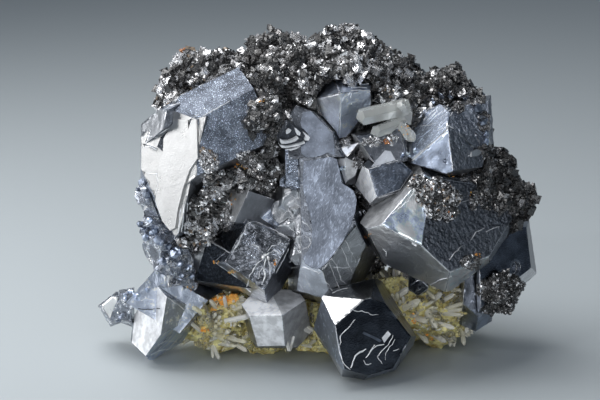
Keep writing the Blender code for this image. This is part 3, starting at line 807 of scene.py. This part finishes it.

# Bands of the folded crystal under the crown, pale matt at full level as painted highlights: outline in the
# frame and height in mm
FOLD_AT = (291, 134)
FOLDS = (
    (((278, 136), (281, 137.5), (286, 137.6), (291, 136), (295, 133), (297, 134.5), (294, 137.5),
      (289, 139.5), (283, 140.5), (278.5, 140)), 1.8),
    (((292.5, 125), (295, 126), (299, 129.5), (298, 132.5), (295, 132), (293.5, 128.5)), 1.7),
    (((301, 129), (304, 130.5), (308, 134), (306.5, 137), (302.5, 137), (303.5, 133.5)), 1.9),
    (((278, 142.2), (284, 143), (291, 142), (297, 140.6), (303, 138.5), (303.5, 140), (297, 142.8),
      (290, 144.2), (283, 145), (279, 144.4)), 1.6),
    (((283, 146.5), (289, 146.2), (294, 145), (299, 143.4), (295, 146), (289, 147.8)), 1.5),
    (((284, 128), (287, 125.5), (290, 127), (288, 130), (284.5, 131.5)), 1.5),
)

# Crumpled small crystals: place in the frame, size in mm and level; the levels are partly the crystals' own
# tone and partly painted light, the brightest ones painted highlights
CHIPS = (
    (266, 254, 0.8, 1.0), (268, 257, 0.7, 1.0), (264, 257, 0.6, 1.0), (219, 203, 1.1, 0.9),
    (226, 201, 1.0, 0.9), (214, 200, 0.8, 0.8), (206, 188, 0.9, 0.7), (206, 197, 0.8, 0.6),
    (283, 132, 0.9, 0.95), (286, 128, 0.8, 0.9), (144, 183, 1.6, 0.22), (149, 196, 1.7, 0.3),
    (139, 188, 1.1, 0.2), (143, 226, 1.5, 0.25), (149, 221, 1.4, 0.6), (153, 232, 1.6, 0.6),
    (145, 236, 1.4, 0.5), (160, 243, 1.7, 0.35), (168, 246, 1.6, 0.4), (172, 255, 1.8, 0.5),
    (165, 262, 1.6, 0.4), (178, 251, 1.5, 0.5), (181, 263, 1.3, 0.6), (188, 268, 1.3, 0.5),
    (193, 275, 1.2, 0.5), (181, 277, 1.1, 0.6), (147, 290, 1.0, 0.5), (131, 293, 1.2, 0.7),
    (124, 297, 1.1, 0.6), (137, 296, 1.2, 0.7), (128, 326, 1.1, 0.7), (121, 316, 0.9, 0.2),
    (119, 321, 0.8, 0.3), (452, 96, 1.6, 0.7), (459, 92, 1.4, 0.5), (467, 99, 1.3, 0.4),
    (479, 108, 1.8, 0.25), (483, 122, 1.6, 0.4), (485, 134, 1.4, 0.5), (481, 96, 1.0, 0.2),
    (443, 97, 1.5, 0.7), (433, 103, 1.2, 0.6), (486, 143, 1.3, 0.7), (440, 91, 1.3, 0.7),
    (415, 152, 1.3, 0.7), (408, 153, 1.2, 0.8), (402, 156, 1.0, 0.8), (344, 168, 1.3, 0.95),
)


# How deep a plate is rooted and how far its rim slopes in, in mm
PLATE_ROOT = 0.3
PLATE_SLOPE = 0.12


def plate(shape, outline, height, material_index, level, values, at=None):
    """Adds one closed plate with a sloping rim to a mesh, on the face at a place in the frame."""
    middle = [sum(place[k] for place in outline) / len(outline) for k in range(2)]
    point, normal = seen(*(at or middle))
    ring = [on_plane(x, y, point, normal) for x, y in outline]
    centre = sum(ring, Vector()) / len(ring)
    low = [shape.verts.new(at - normal * PLATE_ROOT * MM) for at in ring]
    high = [shape.verts.new(at + (centre - at).normalized() * PLATE_SLOPE * MM + normal * height * MM)
            for at in ring]
    faces = [shape.faces.new(high), shape.faces.new(low[::-1])]
    for i in range(len(ring)):
        j = (i + 1) % len(ring)
        faces.append(shape.faces.new((low[i], low[j], high[j], high[i])))
    bmesh.ops.recalc_face_normals(shape, faces=faces)
    for face in faces:
        face.material_index = material_index
        face[values] = level


def galena_plates():
    """All growth plates as one mesh."""
    shape = bmesh.new()
    values = shape.faces.layers.float.new("level")
    used = []
    for outline, height, finish, level in PLATES:
        if finish not in used:
            used.append(finish)
        plate(shape, outline, height, used.index(finish), level, values)
    # The folded bands get the pale frosted finish at full level, a painted highlight
    for outline, height in FOLDS:
        plate(shape, outline, height, used.index("frosted"), 1.0, values, FOLD_AT)
    bmesh.ops.triangulate(shape, faces=shape.faces[:])
    mesh = bpy.data.meshes.new("galena_plates")
    shape.to_mesh(mesh)
    shape.free()
    for finish in used:
        mesh.materials.append(FINISHES[finish])
    piece = bpy.data.objects.new("galena_plates", mesh)
    bpy.context.collection.objects.link(piece)
    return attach(piece, BODY)


# Level, a painted highlight, thickness share and depth in mm of the rims
RIM_HIGHLIGHT_LEVEL = 0.95
RIM_SHARE = 0.75
RIM_ROOT = 0.25


def galena_rims():
    """All rims as one mesh, made light as a painted highlight."""
    points, faces = [], []
    for (width, height), lines in RIMS.items():
        for line in lines:
            more, sides = strip(line, width * RIM_SHARE, (height * RIM_SHARE, RIM_ROOT))
            faces += [tuple(i + len(points) for i in side) for side in sides]
            points += more
    piece = mesh_piece("galena_rims", points, faces, FINISHES["rim"])
    shade_of(piece, "level", [RIM_HIGHLIGHT_LEVEL] * len(faces))
    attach(piece, BODY)


CHIPS_EACH = 2
# Where the back begins, which the frame doesn't show, in metres
BACK_FROM = 0.03


def galena_chips():
    """Small crystals between the large ones."""
    dice = random.Random(3)
    deselect()
    bpy.ops.mesh.primitive_ico_sphere_add(subdivisions=1, radius=0.8)
    corners, sides = taken_apart(bpy.context.object)
    points, faces, levels = [], [], []
    for across, down, size, level in CHIPS:
        for _ in range(CHIPS_EACH):
            at, normal = seen(across + dice.uniform(-2, 2), down + dice.uniform(-2, 2))
            if at is None or at.y > BACK_FROM:
                continue
            turn = Matrix.Rotation(dice.uniform(0, math.tau), 3, Vector([dice.gauss(0, 1) for _ in range(3)]))
            stretch = [size * dice.uniform(0.4, 1.2) * MM for _ in range(3)]
            start = len(points)
            points += [at + normal * size * 0.2 * MM + turn @ Vector([co[k] * stretch[k] for k in range(3)])
                       for co in corners]
            faces += [tuple(i + start for i in side) for side in sides]
            levels += [level] * len(sides)
    piece = mesh_piece("galena_chips", points, faces, FINISHES["plain"])
    shade_of(piece, "level", levels)
    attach(piece, BODY)


# Grains
def primitive_points(add):
    """Points and triangles of a small crystal about its middle."""
    deselect()
    add()
    points, faces = taken_apart(bpy.context.object)
    return points - points.mean(0), faces


def tetrahedron():
    bpy.ops.mesh.primitive_cone_add(vertices=3, radius1=1.1, radius2=0, depth=1.5)


def lump():
    bpy.ops.mesh.primitive_ico_sphere_add(subdivisions=1, radius=1.0)
    bpy.ops.object.mode_set(mode="EDIT")
    bpy.ops.transform.resize(value=(1, 0.8, 0.7))
    bpy.ops.object.mode_set(mode="OBJECT")


def wedge():
    bpy.ops.mesh.primitive_cone_add(vertices=4, radius1=1.1, radius2=0.6, depth=1.1)


def turns(dice, count):
    """Random rotation matrices."""
    q = dice.normal(size=(count, 4))
    q /= np.linalg.norm(q, axis=1)[:, None]
    w, x, y, z = q.T
    return np.stack([
        np.stack([1 - 2 * (y * y + z * z), 2 * (x * y - z * w), 2 * (x * z + y * w)], 1),
        np.stack([2 * (x * y + z * w), 1 - 2 * (x * x + z * z), 2 * (y * z - x * w)], 1),
        np.stack([2 * (x * z - y * w), 2 * (y * z + x * w), 1 - 2 * (x * x + y * y)], 1)], 1)


def strew(name, shapes, places, sizes, shades, dice, material):
    """One mesh of many grains, each turned and sized on its own."""
    all_points, all_faces, all_shades = [], [], []
    start = 0
    pick = dice.integers(0, len(shapes), len(places))
    for kind, (points, faces) in enumerate(shapes):
        chosen = pick == kind
        count = int(chosen.sum())
        if not count:
            continue
        stretch = dice.uniform(0.5, 1.2, (count, 1, 3))
        body = points[None] * stretch * sizes[chosen][:, None, None]
        body = np.einsum("nij,nkj->nki", turns(dice, count), body) + places[chosen][:, None]
        all_points.append(body.reshape(-1, 3))
        offset = start + np.arange(count)[:, None, None] * len(points)
        all_faces.append((faces[None] + offset).reshape(-1, 3))
        all_shades.append(np.repeat(shades[chosen], len(faces)))
        start += count * len(points)
    piece = mesh_piece(name, np.concatenate(all_points), np.concatenate(all_faces), material)
    shade_of(piece, "shade", np.concatenate(all_shades))
    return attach(piece, BODY)


def samples(piece, count, dice):
    """Random places on a surface, with its direction there."""
    corners, areas, normals = triangles(piece)
    chosen = dice.choice(len(corners), count, p=areas / areas.sum())
    a, b = dice.random((2, count))
    turn_in = a + b > 1
    a[turn_in], b[turn_in] = 1 - a[turn_in], 1 - b[turn_in]
    base = corners[chosen]
    places = base[:, 0] + a[:, None] * (base[:, 1] - base[:, 0]) + b[:, None] * (base[:, 2] - base[:, 0])
    return places, normals[chosen]


def open_places(places, normals, tree, room):
    """Tells which places have some air in front of them."""
    keep = []
    for place, normal in zip(places, normals):
        start = Vector(place) + Vector(normal) * 0.05 * MM
        keep.append(tree.ray_cast(start, Vector(normal), room * MM)[0] is None)
    return np.array(keep)


def crust(node, name, voxel, rough_by, size, seed, material):
    """Copy of a solid with a rough skin."""
    piece = copy_of(node, name)
    choose(piece)
    piece.data.remesh_voxel_size = voxel * MM
    bpy.ops.object.voxel_remesh()
    offset = Vector((seed, 3.1 * seed, 0))
    normals = [v.normal.copy() for v in piece.data.vertices]
    for vertex, normal in zip(piece.data.vertices, normals):
        at = vertex.co / MM
        ridge = 0.15 - 1.6 * abs(noise.noise(at / size + offset))
        push = ridge + 0.4 * noise.noise(at / 1.1 + offset)
        vertex.co += normal * push * rough_by * MM
        vertex.co.z = max(vertex.co.z, 0)
    piece.data.materials.clear()
    piece.data.materials.append(material)
    choose(piece)
    bpy.ops.object.shade_flat()
    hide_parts(node)
    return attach(piece, BODY)


# Grains by size: radius in mm and share of the grains, then how many lie in front and behind
GRAIN_SIZES = ((0.32, 0.34), (0.60, 0.34), (1.00, 0.22), (1.60, 0.10))
GRAINS_FRONT = 10500
GRAINS_BACK = 7000


# Windows in the frame where crystals stay free of grains: middle and half widths
WINDOWS = (
    (326, 107, 17, 22), (222, 135, 24, 32), (318, 135, 17, 24), (355, 95, 14, 12), (205, 98, 26, 16),
    (291, 134, 17, 14), (392, 112, 16, 9), (290, 170, 9, 22), (430, 115, 22, 18), (232, 196, 9, 10),
    (255, 205, 14, 12),
)


# How far behind a grain a crystal is still looked for, in metres
WINDOW_DEPTH = 0.012


def in_frame(place):
    """Place in the frame of a point."""
    away = Vector(place) - EYE
    scale = LENS / SENSOR * FRAME_WIDE / away.dot(LOOK)
    return FRAME_WIDE / 2 + away.x * scale, FRAME_HIGH / 2 - away.dot(UP) * scale


def hides_crystal(place, tree):
    """True for a grain in a window that would stand before a crystal."""
    across, down = in_frame(place)
    for x, y, wide, high in WINDOWS:
        if ((across - x) / wide) ** 2 + ((down - y) / high) ** 2 < 1:
            return tree.ray_cast(Vector(place), toward(across, down), WINDOW_DEPTH)[0] is not None
    return False


def grain_sizes(count, dice):
    """Random radii in metres."""
    radii = [radius for radius, _ in GRAIN_SIZES]
    shares = [share for _, share in GRAIN_SIZES]
    return dice.choice(radii, count, p=shares) * dice.uniform(0.8, 1.3, count) * MM


# Sphalerite that grew on the crystals: place in the frame, half widths, grains
GROWTHS = (
    (209, 162, 9, 12, 260), (203, 152, 4, 4, 40), (236, 176, 8, 6, 120), (262, 183, 10, 8, 200),
    (213, 195, 9, 9, 160), (247, 158, 10, 7, 160), (226, 222, 7, 9, 120), (206, 236, 10, 9, 160),
    (357, 163, 5, 6, 30), (372, 142, 10, 5, 80), (345, 143, 6, 4, 60), (476, 96, 10, 10, 150),
    (458, 108, 6, 6, 60), (484, 122, 6, 10, 80), (486, 152, 10, 8, 120), (470, 177, 12, 5, 120),
    (474, 200, 4, 10, 90), (486, 196, 9, 14, 160), (488, 290, 10, 12, 200), (502, 298, 8, 8, 90),
    (470, 262, 10, 7, 90), (391, 139, 7, 5, 50), (260, 172, 8, 5, 80),
)
# Thick iron crust on the quartz: place in the frame, half widths, grains
CRUSTS = (
    (224, 299, 11, 6, 230), (234, 297, 5, 4, 60), (214, 307, 4, 6, 40), (414, 318, 4, 5, 20),
    (428, 337, 5, 4, 14), (206, 330, 4, 5, 10),
)
# Iron stain: place in the frame, half widths, grains
STAINS = (
    (240, 168, 7, 5, 26), (262, 184, 5, 4, 18), (249, 183, 5, 4, 14), (201, 151, 5, 3, 14),
    (229, 199, 8, 6, 10), (216, 262, 4, 2, 8), (232, 272, 4, 2, 9), (190, 288, 3, 3, 6),
    (276, 262, 3, 5, 5), (472, 196, 2, 8, 14), (262, 99, 4, 3, 14), (340, 37, 4, 2, 10),
    (405, 130, 6, 5, 12), (478, 255, 3, 3, 8), (365, 235, 8, 3, 5), (453, 175, 5, 3, 6),
)


# How silvery the grains are, from left to right in mm, and the size of light and dark patches
SILVER_ACROSS = ((-32, 1.30), (-15, 0.62), (6, 0.90), (20, 0.84), (42, 0.52), (56, 0.40))
SILVER_PATCH = 5


def dimming(places):
    """Share of its shade that a grain keeps at each place."""
    side = np.interp(places[:, 0] / MM, *zip(*SILVER_ACROSS))
    patch = [noise.noise(Vector(place) / (SILVER_PATCH * MM)) for place in places]
    return np.clip(side * (1 + 0.4 * np.array(patch)), 0, 1)


def growth(name, patches, shapes, radius, shades, dice, material, dimmed=False):
    """Grains that sit where the surface is seen inside the patches."""
    places, outward = [], []
    for across, down, wide, high, count in patches:
        for _ in range(count):
            angle, reach = dice.uniform(0, math.tau), math.sqrt(dice.random())
            hit, normal = seen(across + wide * reach * math.cos(angle), down + high * reach * math.sin(angle))
            if hit and hit.y < BACK_FROM:
                places.append(hit)
                outward.append(normal)
    count = len(places)
    sizes = dice.uniform(*radius, count) * MM
    places = np.array(places) + np.array(outward) * sizes[:, None] * 0.3
    tones = dice.uniform(*shades, count)
    if dimmed:
        tones = tones * dimming(places)
    piece = strew(name, shapes, places, sizes, tones, dice, material)


# Places tried for grains, the air that each needs in mm, and where the front ends in metres
GRAIN_PLACES = 60000
GRAIN_ROOM = 1.5
FRONT_TO = 0.006


def sphalerite_pieces(crystal_tree):
    """The sphalerite lumps, the grains on them and the iron stains."""
    ground = sphalerite_ground("sphalerite_ground")
    grains = sphalerite("sphalerite_grains")
    dice = np.random.default_rng(11)
    small = [primitive_points(tetrahedron), primitive_points(lump), primitive_points(wedge)]
    mass = crust("sphalerite_mass", "sphalerite_lumps", 0.9, 1.3, 4.0, 2, ground)
    patch = crust("sphalerite_patch", "sphalerite_patch_lumps", 0.5, 0.5, 2.5, 5, ground)
    low = crust("sphalerite_low", "sphalerite_low_lumps", 0.5, 0.5, 2.5, 6, ground)
    places, normals = samples(mass, GRAIN_PLACES, dice)
    free = open_places(places, normals, crystal_tree, GRAIN_ROOM)
    places, normals = places[free], normals[free]
    front = places[:, 1] < FRONT_TO
    for name, chosen, count in (("sphalerite_front_grains", front, GRAINS_FRONT),
                                ("sphalerite_back_grains", ~front, GRAINS_BACK)):
        at, out = places[chosen][:count], normals[chosen][:count]
        shown = np.array([not hides_crystal(place, crystal_tree) for place in at])
        at, out = at[shown], out[shown]
        sizes = grain_sizes(len(at), dice)
        shades = dice.random(len(at)) * dimming(at)
        piece = strew(name, small, at + out * sizes[:, None] * 0.1, sizes, shades, dice, grains)
    for name, lumps, count, dim in (("sphalerite_patch_grains", patch, 1100, 1.0),
                                    ("sphalerite_low_grains", low, 900, 0.65)):
        at, out = samples(lumps, count, dice)
        sizes = dice.uniform(0.25, 0.75, count) * MM
        shades = dice.random(count) * dim
        piece = strew(name, small, at + out * sizes[:, None] * 0.2, sizes, shades, dice, grains)
    growth("sphalerite_growths", GROWTHS, small, (0.3, 0.8), (0.40, 1.0), dice, grains, True)
    crusted = iron_stain("iron_crust", (1.0, 0.66, 0.20, 1), (1.0, 0.40, 0.05, 1))
    growth("iron_crust", CRUSTS, small, (0.25, 0.6), (0.99, 1.0), dice, crusted)
    growth("iron_stain", STAINS, small, (0.15, 0.32), (0.99, 1.0), dice,
           iron_stain("iron_stain", (0.62, 0.42, 0.12, 1), (0.72, 0.26, 0.05, 1)))


# Quartz
def prism_shape():
    """One six-sided prism with a point, a unit long and a unit wide."""
    deselect()
    bpy.ops.mesh.primitive_cylinder_add(vertices=6, radius=0.5, depth=1.0, location=(0, 0, 0.5))
    shape = bpy.context.object
    bpy.ops.object.mode_set(mode="EDIT")
    body = bmesh.from_edit_mesh(shape.data)
    for face in body.faces:
        face.select = face.normal.z > 0.9
    bmesh.update_edit_mesh(shape.data)
    bpy.ops.mesh.extrude_region_move(TRANSFORM_OT_translate={"value": (0, 0, 0.45)})
    bpy.ops.transform.resize(value=(0.3, 0.45, 1))
    bpy.ops.object.mode_set(mode="OBJECT")
    shape.data.transform(Matrix.Translation(shape.location))
    return taken_apart(shape)


# Length of a prism's point in widths
POINT_LENGTH = 0.6


def prisms(name, starts, ways, widths, lengths, shades, dice, material):
    """One mesh of prisms that stand out of the given places."""
    points, faces = prism_shape()
    count = len(starts)
    tip = points[:, 2] > 1.2
    turn = dice.uniform(0, math.tau, count)[:, None]
    x = points[None, :, 0] * np.cos(turn) - points[None, :, 1] * np.sin(turn)
    y = points[None, :, 0] * np.sin(turn) + points[None, :, 1] * np.cos(turn)
    shoulder = lengths - widths * POINT_LENGTH
    along = np.where(tip[None], lengths[:, None], np.minimum(points[None, :, 2], 1) * shoulder[:, None])
    ways = ways / np.linalg.norm(ways, axis=1)[:, None]
    side = np.cross(ways, np.array([0.3, 0.2, 0.93]))
    side /= np.linalg.norm(side, axis=1)[:, None]
    other = np.cross(ways, side)
    flat = dice.uniform(0.7, 1.0, count)[:, None]
    world = (starts[:, None] + side[:, None] * (x * widths[:, None] * flat)[..., None]
             + other[:, None] * (y * widths[:, None])[..., None] + ways[:, None] * along[..., None])
    offset = np.arange(count)[:, None, None] * len(points)
    piece = mesh_piece(name, world.reshape(-1, 3), (faces[None] + offset).reshape(-1, 3), material)
    shade_of(piece, "shade", np.repeat(shades, len(faces)))
    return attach(piece, BODY)


# Longer prisms seen in the photograph: root and tip in the frame, width in mm
NEEDLES = (
    (236, 309, 258, 300, 1.1), (238, 314, 260, 306, 1.0), (230, 320, 250, 316, 1.5),
    (232, 342, 247, 351, 1.3), (228, 338, 246, 342, 1.2), (207, 348, 206, 356, 1.0),
    (212, 348, 213, 358, 1.0), (215, 349, 219, 359, 1.1), (214, 338, 228, 332, 1.2),
    (222, 344, 236, 346, 1.1), (188, 340, 180, 345, 1.2), (196, 348, 186, 350, 1.1),
    (200, 330, 190, 322, 1.3), (208, 318, 198, 312, 1.2), (216, 308, 210, 300, 1.3),
    (226, 306, 224, 296, 1.3), (321, 328, 318, 313, 1.6), (308, 328, 295, 321, 1.3),
    (306, 330, 297, 326, 1.2), (288, 346, 285, 335, 1.1), (291, 346, 294, 336, 1.0),
    (312, 342, 321, 335, 1.2), (304, 345, 312, 347, 1.0), (430, 316, 437, 328, 2.0),
    (448, 308, 465, 303, 1.2), (449, 311, 466, 309, 1.1), (447, 314, 463, 315, 1.2),
    (372, 284, 381, 268, 1.9), (366, 286, 362, 272, 1.6), (386, 288, 396, 276, 1.8),
    (398, 296, 409, 288, 1.9), (408, 306, 420, 300, 2.1), (416, 318, 428, 322, 1.8),
    (404, 322, 410, 333, 1.8), (420, 334, 428, 343, 1.6), (436, 336, 446, 342, 1.5),
    (440, 324, 454, 328, 1.4), (392, 306, 384, 300, 1.8), (380, 296, 372, 294, 1.7),
    (432, 300, 442, 293, 1.7), (444, 300, 454, 294, 1.5), (418, 292, 426, 284, 1.7),
    (402, 336, 396, 344, 1.4), (390, 320, 382, 326, 1.5),
)


# How far a needle leans forward and how deep it is rooted, in mm
NEEDLE_LEAN = 2.2
NEEDLE_ROOT = 1.5


def needles(dice, material):
    """Prisms between places in the frame, leaning a little forward."""
    starts, ways, widths, lengths = [], [], [], []
    ground = tree_of([NODES["quartz_matrix"], NODES["galena_front_left"]])
    for x0, y0, x1, y1, width in NEEDLES:
        root, _ = seen(x0, y0)
        if root is None or ground.find_nearest(root)[3] > 0.1 * MM:
            continue
        tip = on_plane(x1, y1, root - LOOK * NEEDLE_LEAN * MM, LOOK)
        way = (tip - root).normalized()
        starts.append(root - way * NEEDLE_ROOT * MM)
        ways.append(way)
        widths.append(width * MM)
        lengths.append((tip - root).length + NEEDLE_ROOT * MM)
    prisms("quartz_needles", np.array(starts), np.array(ways), np.array(widths), np.array(lengths),
           dice.uniform(0.0, 0.5, len(starts)), dice, material)


# The druse: places tried, prisms kept and bundles, the air that a prism needs and a bundle's spread in mm
DRUSE_PLACES = 7000
DRUSE_COUNT = 2300
BUNDLES = 230
DRUSE_ROOM = 2.5
BUNDLE_SPREAD = 6
MILKY_SHARE = 0.6


def druse(matrix, crystal_tree, dice, clear, pale):
    """Bundles of short prisms all over the matrix."""
    places, normals = samples(matrix, DRUSE_PLACES, dice)
    wanted = (normals[:, 2] > -0.6) & (places[:, 2] > 2.5 * MM)
    places, normals = places[wanted], normals[wanted]
    free = open_places(places, normals, crystal_tree, DRUSE_ROOM)
    places, normals = places[free][:DRUSE_COUNT], normals[free][:DRUSE_COUNT]
    count = len(places)
    centres = places[:BUNDLES]
    axes = normals[:BUNDLES] + dice.normal(size=(BUNDLES, 3)) * 0.45
    axes /= np.linalg.norm(axes, axis=1)[:, None]
    widths = dice.uniform(0.55, 1.45, BUNDLES) * MM
    mine = np.argmin(np.linalg.norm(places[:, None] - centres[None], axis=2), axis=1)
    fan = (places - centres[mine]) / (BUNDLE_SPREAD * MM)
    ways = axes[mine] + fan + dice.normal(size=(count, 3)) * 0.14
    ways /= np.linalg.norm(ways, axis=1)[:, None]
    widths = widths[mine] * dice.uniform(0.6, 1.15, count)
    lengths = widths * dice.uniform(2.2, 3.8, count)
    starts = places - ways * 0.8 * MM
    above = (starts + ways * lengths[:, None])[:, 2] > 1.2 * MM
    shades = dice.random(count) * np.interp(starts[:, 0] / MM, (-5, 12), (1.0, 0.6))
    milky = (dice.random(BUNDLES) < MILKY_SHARE)[mine]
    for name, keep, material in (("quartz_druse_clear", above & ~milky, clear),
                                 ("quartz_druse_milky", above & milky, pale)):
        prisms(name, starts[keep], ways[keep], widths[keep], lengths[keep], shades[keep], dice, material)


def quartz_pieces(crystal_tree):
    """The stained base, the druse and needles on it, and the clear prisms at the top."""
    dice = np.random.default_rng(5)
    matrix = crust("quartz_matrix", "quartz_base", 0.8, 0.7, 3.0, 7, quartz_stained("quartz_crust"))
    clear = quartz_clear("quartz_prisms", (1.0, 1.0, 0.95, 1), (1.0, 0.92, 0.60, 1), 0.88, 0.04)
    pale = quartz_clear("quartz_milky", (1.0, 1.0, 0.98, 1), (1.0, 0.93, 0.58, 1), 0.4, 0.07)
    druse(matrix, crystal_tree, dice, clear, pale)
    needles(dice, pale)
    upper = copy_of("quartz_upper", "quartz_upper_prisms")
    upper.data.materials.append(
        quartz_clear("quartz_upper", (0.98, 1.0, 0.98, 1), (0.88, 0.92, 0.84, 1), 0.72, 0.05))
    apply(upper, "BEVEL", width=0.12 * MM, segments=1, limit_method="ANGLE", angle_limit=math.radians(25))
    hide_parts("quartz_upper")
    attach(upper, BODY)


# Floor and light
def floor():
    """Plain pale ground."""
    deselect()
    bpy.ops.mesh.primitive_circle_add(vertices=96, radius=1.6, fill_type="NGON", location=(0, 0, 0))
    ground = bpy.context.object
    ground.name = "floor"
    r = Recipe("floor")
    ground.data.materials.append(r.done(base_color=(0.44, 0.48, 0.50, 1), roughness=0.6))


# What the lights point at, in metres
LIT = Vector((0, 0, 0.045))


def softbox(name, place, size, power):
    lamp = bpy.data.lights.new(name, "AREA")
    lamp.shape = "RECTANGLE"
    lamp.size, lamp.size_y = size
    lamp.energy = power
    lamp.spread = math.radians(120)
    holder = bpy.data.objects.new(name, lamp)
    holder.location = place
    holder.rotation_euler = (LIT - Vector(place)).to_track_quat("-Z", "Y").to_euler()
    bpy.context.collection.objects.link(holder)


def lights():
    """Soft boxes around the specimen and a dim, cool room."""
    softbox("left", (-0.40, 0.02, 0.16), (0.34, 0.30), 0.58)
    softbox("top", (-0.16, 0.08, 0.46), (0.46, 0.46), 1.08)
    softbox("back", (-0.14, 0.33, 0.36), (0.26, 0.20), 0.06)
    softbox("front", (0.06, -0.80, 0.48), (0.6, 0.4), 0.42)
    softbox("low", (-0.10, -0.50, 0.10), (0.5, 0.16), 0.34)
    softbox("glint", (-0.30, -0.35, 0.40), (0.03, 0.03), 0.12)
    world = bpy.data.worlds.new("room")
    world.use_nodes = True
    room = world.node_tree.nodes["Background"].inputs
    room["Color"].default_value = (0.50, 0.60, 0.72, 1)
    room["Strength"].default_value = 0.22
    bpy.context.scene.world = world
    bpy.context.scene.view_settings.view_transform = "Standard"


add_camera()
floor()
lights()
crystals = [galena_group(name) for name in NODES if name.startswith("galena")]
crystals.append(galena_plates())
galena_rims()
galena_chips()
crystal_tree = tree_of(crystals)
sphalerite_pieces(crystal_tree)
quartz_pieces(crystal_tree)
